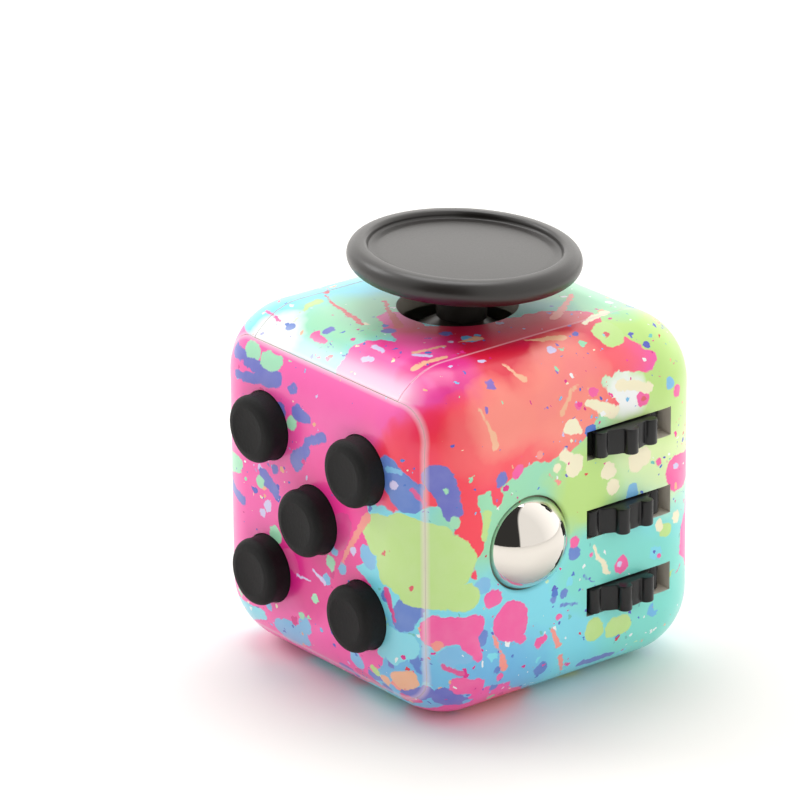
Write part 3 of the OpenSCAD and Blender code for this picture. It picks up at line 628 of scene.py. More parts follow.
# Blots of one paint each.
BLOTS = [
    ("violet", marks({
        on_front: [(-13, 29.3, -5.6, 28.2, 0.6, 0.8), (-11.5, 27, -6.5, 27.8, 0.4, 0.6),
            (-3.2, 28, 0.6), (-2.3, 26.1, -0.9, 25.8, 0.8, 0.6), (-4.7, 25.6, 0.7),
            (-2.6, 21.4, -1.1, 23, 0.9, 0.6), (-1, 23.8, 1.6, 24.8, 0.4, 0.5),
            (-7.3, 18.4, -5.8, 17.2, 0.8, 0.6), (-5.7, 19.6, 0.5),
            (-13.5, 15.5, -10.5, 15.2, 0.6, 0.4), (12.5, 2.6, 15, 3, 1.2, 0.8), (8.8, 1.9, 0.7),
            (2.4, 1.8, 4, 1.4, 0.6, 0.4), (10.6, 6.3, 0.5)],
        on_right: [(-15.6, 24.4, -13.6, 21.4, 1.5, 0.9), (-8.4, 23.4, 0.7),
            (-14.8, 2, -12.5, 1.4, 1.2, 0.7), (2, 1.3, 5.4, 1, 0.5, 0.4)],
        on_top: [(-3, -12.5, 0.5), (5, -5.4, 0.6), (1.3, -8.8, 0.6)],
        on_back: [(-4, 28, -2, 25.6, 1.2, 0.6), (-10.4, 16, -8.8, 17.4, 1.4, 0.5)],
        on_left: [(9.5, 19.6, 1.1), (-10.6, 27, -7.6, 26, 0.9, 0.5)],
        on_base: [(4, 11, 7, 10, 1.2, 0.7)],
    })),
    ("blue", marks({
        on_front: [(10.6, 24.4, 12.6, 22.6, 1.4, 1.7), (13.2, 12, 12.2, 10.8, 1.3, 1.2),
            (10.2, 12.4, 0.6), (7.3, 3.2, 8.4, 3.6, 0.6, 0.4), (13.4, 7.4, 14.2, 5.8, 0.5, 0.3)],
        on_right: [(-10.9, 8.9, 0.8), (-3.5, 3.4, 0.8), (-8.9, 3, 0.5), (-1.2, 10.6, 0.5),
            (-2.6, 10.5, 0.3), (-0.2, 14.3, 0.7), (-1.6, 9.6, 0.2, 9.2, 0.2, 0.1),
            (1, 11.6, 2.2, 10.8, 0.12, 0.08), (-10.3, 13.8, 0.4), (-8.8, 5.3, 0.4)],
        on_top: [(-7.2, -14, 0.5)],
        on_back: [(10.4, 25.4, 1.4), (6.8, 5, 0.9)],
        on_left: [(-12.4, 20.6, 1.3), (3, 27.4, 0.8)],
        on_base: [(-11, 7, 1.3)],
    })),
    ("sky", marks({
        on_front: [(-5.2, 3.2, -2.8, 4, 1.6, 1.2), (-1.7, 5.6, 0.9), (-7, 5.8, 0.5), (5.6, 4.5, 1),
            (1.7, 11.3, 0.6), (3.9, 13, 0.6), (7.7, 15.4, 1.1), (2.9, 14.6, 0.6),
            (10.3, 24.6, 12.1, 24.8, 0.25, 0.3)],
        on_right: [(-14.4, 7.5, -12.2, 7.6, 1, 0.9), (-10.6, 13.9, 0.8), (6.6, 18.4, 0.6),
            (11.2, 27.6, 0.6)],
    })),
    ("cyan", marks({
        on_front: [(11, 8, 12.6, 8.2, 1.8, 1.3), (9.4, 6.8, 0.5), (-12, 3.4, -8.5, 4.2, 1.3, 0.6)],
    })),
    ("mint", marks({
        on_front: [(-10.2, 30.1, -9, 29.9, 0.8, 0.6), (-7.4, 29.7, -6, 29.9, 0.9, 0.7),
            (-3.1, 24.8, 0.75), (-8, 17.7, 0.6), (-5.9, 13.2, 0.8),
            (-15.5, 17.4, -11.6, 18.3, 1, 0.9), (-0.2, 8.7, 0.5), (2.3, 13.1, 0.7), (-2.2, 6.6, 0.4)],
        on_right: [(-13.4, 20.4, 0.5), (-14.6, 23.3, 0.3)],
    })),
    ("lime", marks({
        on_front: [(9.3, 17.9, 15.6, 17.4, 2.1, 2.9), (12, 19.2, 15.6, 18.6, 1.6, 1.6),
            (10.7, 15.2, 15.6, 14.6, 1.8, 2.2), (7.5, 18, 0.7), (8.2, 4.4, 0.6)],
        on_right: [(-16, 17, -14.2, 16.6, 3, 2.5), (-15.2, 19.2, 1),
            (-10.1, 20.6, -10.4, 18.4, 0.5, 0.3), (2.2, 6.2, 1.1), (4.3, 5.7, 5.6, 5.6, 0.9, 1),
            (10.6, 13.6, 0.7)],
        on_top: [(-8.7, -9, -7.5, -13, 0.5, 0.15), (13.1, 6.8, 1.5)],
        on_back: [(-12.6, 14, -10.6, 12.6, 1.8, 1.2)],
        on_left: [(-9.4, 12.6, -12, 10.8, 1.9, 1.3), (12.6, 22, 1)],
        on_base: [(11, 3, 1.6)],
    }, [(on_front(13, 13.4), on_right(-12.4, 13.2), 1.2, 1.4)])),
    ("hot_pink", marks({
        on_right: [(-16.2, 10, -11.7, 10.2, 1.5, 1.2), (-12.2, 9.2, -11, 6.9, 0.9, 0.4),
            (-7.4, 9.6, 2), (-6.4, 7.7, 0.6), (-9.7, 12.5, -9.1, 12.4, 0.8, 0.7),
            (-4.4, 6.7, -3.7, 6.9, 0.5, 0.3), (-13, 4.3, -11.2, 4, 1, 0.9), (-1.9, 8.5, 0.42),
            (-8.5, 4.4, 0.4), (-6.6, 23.7, 0.6), (2.4, 29, 0.6), (0.4, 28.1, 0.35),
            (12.4, 18.7, 15.5, 18.4, 1.8, 1.4), (7.8, 27, 0.75), (12.2, 26.5, 0.6),
            (-0.1, 15.3, 0.55), (5.4, 11.6, 0.85), (9.7, 11.4, 0.3), (9.6, 20.4, 0.4),
            (1.9, 13.5, 0.22)],
        on_top: [(-12, -13.2, -8.8, -13.8, 0.12, 0.2), (-3.9, -13.6, -2.3, -14, 0.5, 0.3)],
        on_back: [(9.8, 6.6, 11.6, 5.4, 1.7, 0.8), (2, 30, 1.3), (-0.6, 3.4, 0.9)],
        on_left: [(-3.4, 27.6, -1.6, 26.6, 1, 0.4), (-11.4, 4.8, 1.5), (2.4, 6, 0.8)],
        on_base: [(1, -12, 1.4)],
    })),
    ("magenta", marks({
        on_front: [(4.3, 17.4, 3.6, 15.4, 1.2, 0.9), (-3.8, 11.6, -2.9, 10.7, 0.9, 0.5),
            (5.4, 2.2, 7.4, 1.4, 0.9, 0.5), (11.4, 1.4, 13.2, 0.9, 0.6, 0.4),
            (13.4, 23.2, 15, 22, 0.25, 0.2), (10.2, 13, 11.4, 10.4, 0.35, 0.2)],
        on_right: [(-15, 6.6, -12.8, 5.8, 0.3, 0.2), (13.2, 9.4, 12, 8.6, 0.12, 0.08)],
    })),
    ("salmon", marks({
        on_front: [(7.6, 19.2, 3.7, 13.3, 0.5, 0.15), (10.8, 3.4, 0.6)],
        on_right: [(-9.4, 8.7, -8.1, 5.4, 0.15, 0.4), (-2.8, 7.4, -2, 5.9, 0.2, 0.35),
            (-1.4, 4.2, -0.6, 1.6, 0.3, 0.2), (-16.2, 8.7, 0.5), (-4, 24.7, 0.4),
            (-3.2, 22.6, -1.9, 21.3, 0.1, 0.2)],
        on_back: [(8.6, 28.4, 11.4, 22, 0.15, 0.5)],
        on_left: [(-6.4, 7.6, -2, 3.2, 0.15, 0.5)],
        on_top: [(4.6, 9.6, 8.2, 4.4, 0.25, 0.45)],
    })),
    ("peach", marks({
        on_front: [(11.6, 4.5, 12.8, 4.9, 1.2, 0.8), (9.4, 3.7, 0.7)],
        on_top: [(7.4, -5.8, 7.7, -3.9, 0.15, 0.45), (10.9, -1, 12, 2.3, 0.15, 0.45),
            (13.2, -5.3, 16.4, -4.2, 0.15, 0.3), (9, -12.4, 9.6, -9.2, 0.35, 0.3),
            (6.8, -10.4, 7.4, -7.3, 0.3, 0.18)],
        on_right: [(-10.1, 30.7, -9.1, 26.8, 0.12, 0.45), (0.9, 30.4, -1.5, 28, 0.12, 0.3)],
    })),
    ("cream", marks({
        on_right: [(-0.1, 22.6, 1.1), (-1.5, 24, -0.4, 23.2, 0.5, 0.5), (-2.2, 22.9, 0.45),
            (3.9, 21, 0.9), (7.1, 21.2, 7.9, 21.4, 1.1, 0.9), (4.4, 19.4, 0.7),
            (-0.5, 26.4, 0.4, 25.6, 0.8, 0.4), (1.6, 28, 4.2, 26.6, 0.4, 0.7),
            (5.4, 29, 8.6, 27.8, 0.5, 0.5), (2.2, 14.2, 3.7, 11.2, 0.15, 0.25), (9.9, 14.2, 0.5),
            (12.2, 14.4, 0.6)],
        on_top: [(10, 8.8, 10.7, 5.8, 0.5, 0.25), (-1.3, -9.2, 0.3)],
    })),
    ("lilac", marks({
        on_front: [(11.2, 23.3, 0.42), (-7, 15.6, 0.6), (-7.7, 14.7, 0.45), (5.7, 15.3, 0.4),
            (-0.4, 11.5, 1.2, 10.9, 0.12, 0.3), (-2.8, 10.2, -0.8, 10.3, 0.12, 0.1)],
        on_right: [(12.1, 19.3, 0.4), (5.2, 11.8, 0.3)],
        on_top: [(7.4, -10.6, 8.4, -10, 0.35, 0.3), (3.4, -13.8, 4.1, -13.5, 0.35, 0.3),
            (6.8, -6.3, 0.25), (11.8, -6.8, 0.3), (13.2, 0.2, 0.45), (2.9, -12, 4.3, -12, 0.25, 0.2)],
    })),
    ("crimson", marks({
        on_top: [(-16, -3.6, -10, -7.2, 0.12, 0.28), (-9.4, -7.8, -1.5, -9.6, 0.12, 0.3),
            (-16, -8.8, -11.6, -11.4, 0.08, 0.12), (-5, -4.5, 1, -7.6, 0.15, 0.5), (13.3, 6.5, 0.3)],
        on_right: [(7.8, 27, 0.3)],
        on_front: [(9.8, 16.2, 10.7, 16.8, 0.1, 0.1), (13.1, 13.8, 0.3)],
    })),
]

# Fine drops: spots per millimetre, the share that shows, size, then the paints they take.
COOL_DROPS = [
    (0.42, 0.3, 0.36, ("mint", "pale_lime", "hot_pink", "sky", "lime", "cyan")),
    (0.9, 0.24, 0.36, ("blue", "magenta", "teal", "peach", "white", "violet")),
    (1.7, 0.12, 0.36, ("magenta", "violet", "crimson", "white", "blue", "teal")),
]
LAST_DROPS = [
    (0.55, -0.12, 0.36, ("magenta", "violet", "sky", "hot_pink", "cyan", "blue")),
    (1.25, -0.1, 0.38, ("violet", "hot_pink", "white", "blue", "peach", "magenta")),
]
WARM_DROPS = [
    (0.42, 0.1, 0.34, ("violet", "purple", "mint", "hot_pink", "violet", "sky")),
    (0.85, 0.14, 0.36, ("lilac", "violet", "magenta", "mint", "peach", "blue")),
    (1.6, 0.1, 0.36, ("violet", "magenta", "lilac", "sky", "purple", "cream")),
]


def reach(graph, place, path):
    """How far inside a blot a place lies: its radius less the distance from its line."""
    if len(path) == 2:
        centre, radius = path
        return graph.math("SUBTRACT", radius, graph.vector("DISTANCE", place, on_skin(centre)))
    start, end, radius, end_radius = path
    start, end = on_skin(start), on_skin(end)
    along = end - start
    rest = graph.vector("SUBTRACT", place, start)
    dot = graph.vector("DOT_PRODUCT", rest, along)
    share = graph.clamp("MULTIPLY", dot, 1 / along.length_squared)
    gap = graph.vector("DISTANCE", rest, graph.vector("SCALE", along, scale=share))
    size = graph.linear(share, end_radius - radius, radius)
    return graph.math("SUBTRACT", size, gap)


def union(graph, place, paths):
    total = reach(graph, place, paths[0])
    for path in paths[1:]:
        total = graph.math("MAXIMUM", total, reach(graph, place, path))
    return total


def edge_of(graph, inside, softness):
    """0 outside to 1 inside, over a border of the given width."""
    return graph.clamp("MULTIPLY_ADD", inside, 1 / softness, 0.5)


def fields(graph, base, places, wobble):
    colour = srgb(PAINT[base])
    for paint, centre, size in places:
        gap = graph.vector("DISTANCE", wobble, on_skin(centre))
        near = graph.clamp("MULTIPLY_ADD", gap, -1.6 / size, 1.6)
        smooth = graph.times(near, graph.linear(near, -1, 2))
        colour = graph.mix(smooth, colour, srgb(PAINT[paint]))
    return colour


def crowding(graph, place):
    """How closely the small drops lie, from 0 to 1."""
    total = None
    for centre, size in CROWDS:
        gap = graph.vector("DISTANCE", place, on_skin(centre))
        near = graph.clamp("MULTIPLY_ADD", gap, -1 / size, 1)
        total = near if total is None else graph.math("MAXIMUM", total, near)
    return total


def drops(graph, colour, place, crowd, settings):
    for per_mm, share, size, paints in settings:
        gap, seed = graph.cells(place, per_mm)
        red, green, blue = graph.channels(seed)
        big = graph.times(graph.math("POWER", green, 1.6), size)
        inside = graph.math("SUBTRACT", big, gap)
        spot = edge_of(graph, inside, 0.03)
        kept = graph.math("LESS_THAN", red, graph.linear(crowd, 0.65, share))
        stops = [(k / len(paints), srgb(PAINT[p])) for k, p in enumerate(paints)]
        paint = graph.ramp(blue, stops, "CONSTANT")
        colour = graph.mix(graph.times(spot, kept), colour, paint)
    return colour


def painted_seam_highlights(graph, place):
    """Where the painted seam highlights lie: 1 close to the seams round the two panels and beside the two
    covers, 0 elsewhere.
    """
    x, y, z = graph.parts(place)
    up = graph.math("SUBTRACT", z, HALF)
    corner = PANEL_HALF - PANEL_CORNER
    over_u = graph.math("MAXIMUM", graph.math("SUBTRACT", graph.math("ABSOLUTE", x), corner), 0)
    over_v = graph.math("MAXIMUM", graph.math("SUBTRACT", graph.math("ABSOLUTE", up), corner), 0)
    square = graph.math("ADD", graph.math("POWER", over_u, 2), graph.math("POWER", over_v, 2))
    gap = graph.math("ABSOLUTE", graph.math("SUBTRACT", graph.math("SQRT", square), PANEL_CORNER))
    outwards = graph.math("GREATER_THAN", graph.math("ABSOLUTE", y), PANEL_BACK)
    panel = graph.times(graph.clamp("MULTIPLY_ADD", gap, -3.2, 1.25), outwards)
    side = graph.math("ABSOLUTE", graph.math("SUBTRACT", graph.math("ABSOLUTE", x), SEAM))
    flat = graph.clamp("MULTIPLY_ADD", side, -5, 1)
    between = graph.math("SUBTRACT", 1, outwards)
    return graph.math("MAXIMUM", panel, graph.times(flat, between))


def splatter_print_and_highlights():
    graph = material("splatter_print_and_highlights")
    place = graph.millimetres()
    loose = graph.warp(graph.warp(place, 0.16, 4.5, 3), 0.55, 1.1)
    fine = graph.warp(graph.warp(place, 0.45, 0.9, 2), 1.3, 0.35)

    chips = graph.warp(fine, 1.8, 0.7)
    crowd = crowding(graph, loose)

    cool = fields(graph, "cyan", COOL_FIELDS, loose)
    cool = drops(graph, cool, chips, crowd, COOL_DROPS)
    warm = fields(graph, "pink", WARM_FIELDS, loose)
    blush = graph.clamp("MULTIPLY_ADD", graph.noise(place, 0.17, 3), 2.4, -1.1)
    warm = graph.mix(graph.times(blush, 0.3), warm, srgb(PAINT["magenta"]))
    warm = drops(graph, warm, chips, crowd, WARM_DROPS)

    torn = graph.warp(graph.warp(place, 0.3, 2.2, 3), 1.1, 0.9)
    height = graph.parts(place)[2]
    below_seam = graph.math("SUBTRACT", HALF + PANEL_HALF, height)
    on_panel = graph.math("MINIMUM", union(graph, torn, FRONT_AREAS), below_seam)
    inside = graph.math("MAXIMUM", on_panel, union(graph, torn, WARM_AREAS))
    colour = graph.mix(edge_of(graph, inside, 0.12), cool, warm)
    tone = graph.times(graph.noise(place, 0.5, 3), 0.16)
    edges = graph.warp(fine, 2.6, 0.35)
    for paint, paths in BLOTS:
        shade = graph.mix(tone, srgb(PAINT[paint]), srgb(PAINT["white"]))
        inside = union(graph, edges, paths)
        colour = graph.mix(edge_of(graph, inside, 0.1), colour, shade)

    colour = drops(graph, colour, chips, crowd, LAST_DROPS)
    # Painted highlight: white mixed in along the top shell's front edge, above the panel's seam only.
    edge_highlight = graph.times(edge_of(graph, reach(graph, place, PAINTED_EDGE_HIGHLIGHT), 3), 0.6)
    above_seam = graph.clamp("MULTIPLY", below_seam, -5)
    colour = graph.mix(graph.times(edge_highlight, above_seam), colour, srgb(PAINT["white"]))
    seams = painted_seam_highlights(graph, place)
    # Painted highlight: pale pink along every seam, where light catches the seams' rounded edges.
    colour = graph.mix(graph.times(seams, 0.5), colour, srgb("fbdfeb"))
    grain = graph.noise(place, 9, 2)
    roughness = graph.linear(grain, 0.14, 0.24)
    graph.bump(grain, 0.1, 0.03)
    return graph.surface(Base_Color=colour, Roughness=roughness, Coat_Weight=0.25, Coat_Roughness=0.12)


# ---- plain materials ----


def moulded(name, colour, roughness=0.5, grain=4.0, bump=0.15, spread=0.12, **values):
    """Moulded plastic or rubber: a fine grain in colour, gloss and relief."""
    graph = material(name)
    place = graph.millimetres()
    fine = graph.noise(place, grain, 4, 0.6)
    broad = graph.noise(place, 0.25, 2)
    tone = graph.linear(fine, spread, graph.times(broad, spread))
    light = tuple(min(1, c * 1.35 + 0.01) for c in srgb(colour)[:3]) + (1,)
    graph.bump(fine, bump, 0.05)
    rough = graph.linear(fine, 0.12, roughness - 0.06)
    return graph.surface(Base_Color=graph.mix(tone, srgb(colour), light), Roughness=rough, **values)


def metal(name, colour, roughness=0.3, stretch=(1, 1, 6)):
    """Drawn or turned metal, with fine marks that run across the stretched direction."""
    graph = material(name)
    place = graph.vector("MULTIPLY", graph.millimetres(), stretch)
    marks = graph.noise(place, 3, 5, 0.65)
    dark = tuple(c * 0.7 for c in srgb(colour)[:3]) + (1,)
    graph.bump(marks, 0.12, 0.02)
    rough = graph.linear(marks, 0.3, roughness - 0.15)
    return graph.surface(Base_Color=graph.mix(marks, dark, srgb(colour)), Roughness=rough, Metallic=1)


def polished_ball():
    graph = material("polished_ball")
    marks = graph.noise(graph.millimetres(), 2.2, 6, 0.7)
    rough = graph.linear(marks, 0.05, 0.01)
    return graph.surface(Base_Color=srgb("e0dbd4"), Roughness=rough, Metallic=1)


def circuit_board():
    """Green board with paler copper tracks under its lacquer."""
    graph = material("circuit_board")
    place = graph.millimetres()
    x, _, z = graph.parts(place)
    lines = graph.math("PINGPONG", graph.math("ADD", x, z), 0.9)
    track = graph.math("GREATER_THAN", lines, 0.6)
    colour = graph.mix(graph.times(track, 0.6), srgb("1c5a3a"), srgb("3f8a58"))
    graph.bump(track, 0.3, 0.03)
    return graph.surface(Base_Color=colour, Roughness=graph.linear(track, 0.1, 0.35))


MATERIALS = {
    "print": splatter_print_and_highlights(),
    "inside": moulded("casing_inside", "dad3c6", 0.45),
    "button_rubber": moulded("button_rubber", "0a0a0b", 0.6, grain=7, bump=0.9, spread=0.8,
                             Specular_IOR_Level=0.16),
    "dome": metal("dome_steel", "c9c2ae", 0.32),
    "board": circuit_board(),
    "screws": metal("zinc_screws", "b4b6b8", 0.35),
    "wheels": moulded("wheel_plastic", "101113", 0.3, bump=0.08, Specular_IOR_Level=0.4),
    "steel": metal("ground_steel", "b8b9ba", 0.28),
    "white_plastic": moulded("white_plastic", "dcd9cf", 0.42, bump=0.06),
    "ball": polished_ball(),
    "grey_plastic": moulded("grey_plastic", "55565a", 0.5),
    "spring_steel": metal("spring_steel", "a7a59c", 0.3),
    "dial": moulded("dial_plastic", "1d1e20", 0.42),
    "bezel": moulded("bezel_plastic", "222325", 0.6, bump=0.3),
    "rocker": moulded("rocker_plastic", "191a1c", 0.34),
    "cap": moulded("cap_plastic", "130e0a", 0.4, grain=5, bump=0.1, spread=0.3,
                   Coat_Weight=0.4, Coat_Roughness=0.26),
    "spindle": moulded("spindle_plastic", "3c342d", 0.34),
    "grommet": moulded("grommet_rubber", "222222", 0.75),
}

SLOT_OF = {s["node"]: s["material_slot"] for s in frame["record"]["subparts"]}


def dress(piece, *materials):
    sides = [face.material_index for face in piece.data.polygons]
    piece.data.materials.clear()
    for name in materials:
        piece.data.materials.append(MATERIALS[name])
    if len(materials) > 1:
        piece.data.polygons.foreach_set("material_index", sides)


def stand_for(piece, node, *materials):
    """The piece takes a CAD node's place: its body, its slot and its looks."""
    slot = SLOT_OF[node]
    dress(piece, *(materials or (slot,)))
    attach(piece, frame["nodes"][node]["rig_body"])
    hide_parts(node)
    return piece


# ---- camera, light and floor ----

DARK_HEADING = -58
BACK_WALL, SIDE_WALL = 1.7, 1.05


def make_camera():
    """A long lens from above the edge between the buttons' face and the wheels' face."""
    azimuth, elevation, roll = (math.radians(a) for a in (51.678, 21.381, -0.525))
    distance, aside, above = 536.165, 5.299, -6.808
    back = Vector((math.sin(azimuth) * math.cos(elevation), -math.cos(azimuth) * math.cos(elevation),
                   math.sin(elevation)))
    level = Vector((math.cos(azimuth), math.sin(azimuth), 0))
    lift = back.cross(level)
    right = math.cos(roll) * level + math.sin(roll) * lift
    up = math.cos(roll) * lift - math.sin(roll) * level
    eye = CENTRE + back * distance - right * aside - up * above
    camera = bpy.data.objects.new("camera", bpy.data.cameras.new("camera"))
    camera.data.lens = 266
    camera.data.sensor_width = 36
    camera.data.clip_start = 0.01
    turn = Matrix((right, up, back)).transposed().to_4x4()
    camera.matrix_world = Matrix.Translation(eye * MM) @ turn
    bpy.context.scene.collection.objects.link(camera)
    bpy.context.scene.camera = camera


def area_light(name, azimuth, elevation, distance, size, watts):
    """A square softbox that faces the cube's middle."""
    data = bpy.data.lights.new(name, "AREA")
    data.size = size * MM
    data.energy = watts
    light = bpy.data.objects.new(name, data)
    a, e = math.radians(azimuth), math.radians(elevation)
    away = Vector((math.cos(a) * math.cos(e), math.sin(a) * math.cos(e), math.sin(e)))
    light.location = (CENTRE + away * distance) * MM
    light.rotation_euler = away.to_track_quat("Z", "Y").to_euler()
    bpy.context.scene.collection.objects.link(light)


def make_world():
    """White studio walls, brightest behind the cube, with the dark of the room by the camera.

    The dark starts wide at the floor, narrows as it rises, and ends a little past overhead."""
    graph = Graph(bpy.data.worlds.new("studio"))
    bpy.context.scene.world = graph.owner
    made = graph.new("TexCoord")
    direction = made.outputs["Generated"]
    heading = math.radians(DARK_HEADING)
    ahead = graph.vector("DOT_PRODUCT", direction, (math.cos(heading), math.sin(heading), 0))
    aside = graph.vector("DOT_PRODUCT", direction, (-math.sin(heading), math.cos(heading), 0))
    forward = graph.math("MAXIMUM", ahead, 0)
    width = graph.linear(graph.times(ahead, forward), 0.42, 0.18)
    inside = graph.math("SUBTRACT", width, graph.math("ABSOLUTE", aside))
    dark = graph.clamp("MULTIPLY_ADD", inside, 14, 0.5)
    reach_back = graph.clamp("MULTIPLY_ADD", ahead, 8, 3.4)
    shade = graph.times(dark, reach_back)
    behind = graph.clamp("MULTIPLY_ADD", ahead, -0.9, 0.1)
    walls = graph.linear(behind, BACK_WALL - SIDE_WALL, SIDE_WALL)
    lit = graph.times(walls, graph.linear(shade, -0.96, 1))
    background = graph.tree.nodes["Background"]
    graph.put(background.inputs["Color"], srgb("fffdfa"))
    graph.put(background.inputs["Strength"], lit)


def make_floor():
    size = 4000
    corners = ((-size, -size), (size, -size), (size, size), (-size, size))
    verts = [(x, y, -0.02) for x, y in corners]
    floor = new_object("floor", verts, [(0, 1, 2, 3)], smooth=False)
    graph = material("studio_floor")
    tone = graph.noise(graph.millimetres(), 0.02, 2)
    colour = graph.mix(tone, srgb("f4f3f1"), srgb("f9f8f6"))
    graph.surface(Base_Color=colour, Roughness=0.9)
    floor.data.materials.append(graph.owner)


def light_studio():
    make_world()
    area_light("overhead", 150, 72, 500, 300, 0.9)
    area_light("left", -150, 40, 500, 200, 0.5)
    scene = bpy.context.scene
    scene.view_settings.view_transform = "Standard"
    scene.view_settings.look = "None"
    scene.view_settings.exposure = 0


# ---- casing ----


def panel_cutter(place):
    reach_out = PANEL_HALF + PANEL_GAP
    outline = round_outline(reach_out, reach_out, PANEL_CORNER + PANEL_GAP, 12)
    return prism("pocket", outline, PANEL_BACK - 2, HALF + 2, place)


def finish_casing(piece, node, holes):
    for hole in holes:
        boolean(piece, hole)
    finish_skin(piece)
    stand_for(piece, node, "print", "inside")


def casing_piece(node, lo, hi, holes):
    piece = hollow_cube(node + "_skin")
    boolean(piece, block("keep", lo, hi), "INTERSECT")
    for place in (FRONT, BACK):
        boolean(piece, panel_cutter(place))
    finish_casing(piece, node, holes)


def make_roll_cover():
    seat, middle = BALL_R + 0.08, BALL_AT.x
    rise = math.degrees(math.asin((HALF - LIP_R - middle) / seat))
    lip = [(0, HALF - WALL - 1), (seat, HALF - WALL - 1)] + arc(0, middle, seat, 0, rise, 8)[:-1]
    lip += arc(BALL_LIP + 0.03, HALF - LIP_R, LIP_R, 180, 90, 5)
    lip += [(BALL_LIP + 0.03, FAR), (0, FAR)]
    holes = [lathe("ball_hole", lip, ball_place())]
    for name in WHEELS:
        lo, hi = node_box(f"wheel_{name}")
        axle = (lo + hi) / 2
        low, high = axle.z - SLOT_H / 2, axle.z + SLOT_H / 2
        holes.append(block("slot", (HALF - 3, SLOT_LEFT, low), (FAR, SLOT_RIGHT, high)))
        place = Matrix.Translation((axle.x, axle.y, 0))
        holes.append(prism("pocket", disc_outline(WHEEL_R + 0.15, 96), low, high, place))
    casing_piece("roll_cover", (SEAM + SEAM_GAP, -FAR, -1), (FAR, FAR, 2 * HALF + 1), holes)


def make_dial_cover():
    holes = [prism("dial_hole", disc_outline(DIAL_R + 0.2, 96), HALF - 3, FAR, LEFT)]
    casing_piece("dial_cover", (-FAR, -FAR, -1), (-SEAM - SEAM_GAP, FAR, 2 * HALF + 1), holes)


def make_shells():
    stick_hole = prism("stick_hole", disc_outline(STICK_HOLE_R, 96), 2 * HALF - 3, 2 * HALF + 1, TOP)
    casing_piece("top_shell", (-SEAM, -FAR, HALF), (SEAM, FAR, 2 * HALF + 1), [stick_hole])
    dish_hole = prism("dish_hole", disc_outline(DISH_HOLE, 96), -1, 3, TOP)
    casing_piece("bottom_shell", (-SEAM, -FAR, -1), (SEAM, FAR, HALF), [dish_hole])


def panel_piece(node, place, holes):
    piece = solid_cube(node + "_skin")
    outline = round_outline(PANEL_HALF, PANEL_HALF, PANEL_CORNER, 12)
    boolean(piece, prism("keep", outline, PANEL_BACK, FAR, place), "INTERSECT")
    finish_casing(piece, node, holes)


def make_panels():
    hole = disc_outline(BUTTON_R + 0.08)
    holes = [prism("button_hole", hole, PANEL_BACK - 1, FAR, at) for at in button_places()]
    panel_piece("button_panel", FRONT, holes)
    opening = block("switch_hole", (-5.1, -7.9, PANEL_BACK - 1), (5.1, 7.9, FAR), BACK)
    panel_piece("switch_panel", BACK, [opening])


def make_thumb_dish():
    """The thumb rest under the cube: a shallow bowl with a rounded lip."""
    bowl = (DISH_R**2 + DISH_DEPTH**2) / (2 * DISH_DEPTH)
    face = node_box("thumb_dish")[0].z
    top = node_box("thumb_dish")[1].z
    sweep = math.degrees(math.asin(DISH_R / bowl))
    hollow = arc(0, face + DISH_DEPTH - bowl, bowl, 90, 90 - sweep, 24)
    outline = hollow[:-1] + arc(DISH_R + 0.12, face + 0.16, 0.16, 200, 270, 3)
    outline += arc(DISH_HOLE - 0.2, face + 0.15, 0.15, 270, 360, 4)
    outline += [(DISH_HOLE - 0.05, top), (0, top)]
    piece = crisp(lathe("thumb_rest", outline, TOP, 128))
    stand_for(piece, "thumb_dish", "print")


# ---- things to fiddle with ----


def make_buttons():
    """Rubber studs: a slight waist, then a rounded front with a faint rim round its flat."""
    face = BUTTON_FRONT
    outline = [(0, HALF - 3), (BUTTON_R + 0.5, HALF - 3), (BUTTON_R + 0.5, HALF - 2.2)]
    outline += [(BUTTON_R, HALF - 2.2), (BUTTON_R, HALF - 0.1)]
    outline += [(BUTTON_R - 0.06, HALF + 0.35), (BUTTON_R - 0.1, HALF + 0.9)]
    outline += arc(BUTTON_R - 0.85, face - 0.85, 0.8, 0, 80, 8)
    outline += [(BUTTON_R - 0.92, face - 0.03), (BUTTON_R - 1.05, face), (BUTTON_R - 1.2, face - 0.04)]
    outline += [(0, face - 0.05)]
    for name, at in zip(BUTTONS, button_places()):
        stand_for(crisp(lathe(f"{name}_stud", outline, at, 72), 60), f"button_{name}")


def make_ball():
    middle = BALL_AT.x
    outline = [(r, middle + w) for r, w in arc(0, 0, BALL_R, -90, 90, 64)]
    outline[0], outline[-1] = (0, middle - BALL_R), (0, middle + BALL_R)
    stand_for(crisp(lathe("polished_roller", outline, ball_place(), 128), 60), "roller_ball")


def wheel_outline():
    """Ten narrow round ridges on a plain rim."""
    centre = WHEEL_R - RIDGE_R
    widest = math.degrees(math.asin(RIDGE_R / centre))
    ridge = [widest * math.sin(math.pi / 2 * k / 7) for k in range(-7, 8)]
    gap = 360 / WHEEL_LOBES - 2 * widest
    rim = [widest + gap * (0.08 + 0.84 * k / 8) for k in range(9)]
    points = []
    for lobe in range(WHEEL_LOBES):
        for turn in ridge + rim:
            a = math.radians(turn)
            radius = WHEEL_ROOT
            if turn <= widest:
                across = max(RIDGE_R**2 - (centre * math.sin(a)) ** 2, 0)
                radius = max(WHEEL_ROOT, centre * math.cos(a) + math.sqrt(across))
            a += 2 * math.pi * lobe / WHEEL_LOBES
            points.append((radius * math.cos(a), radius * math.sin(a)))
    return points


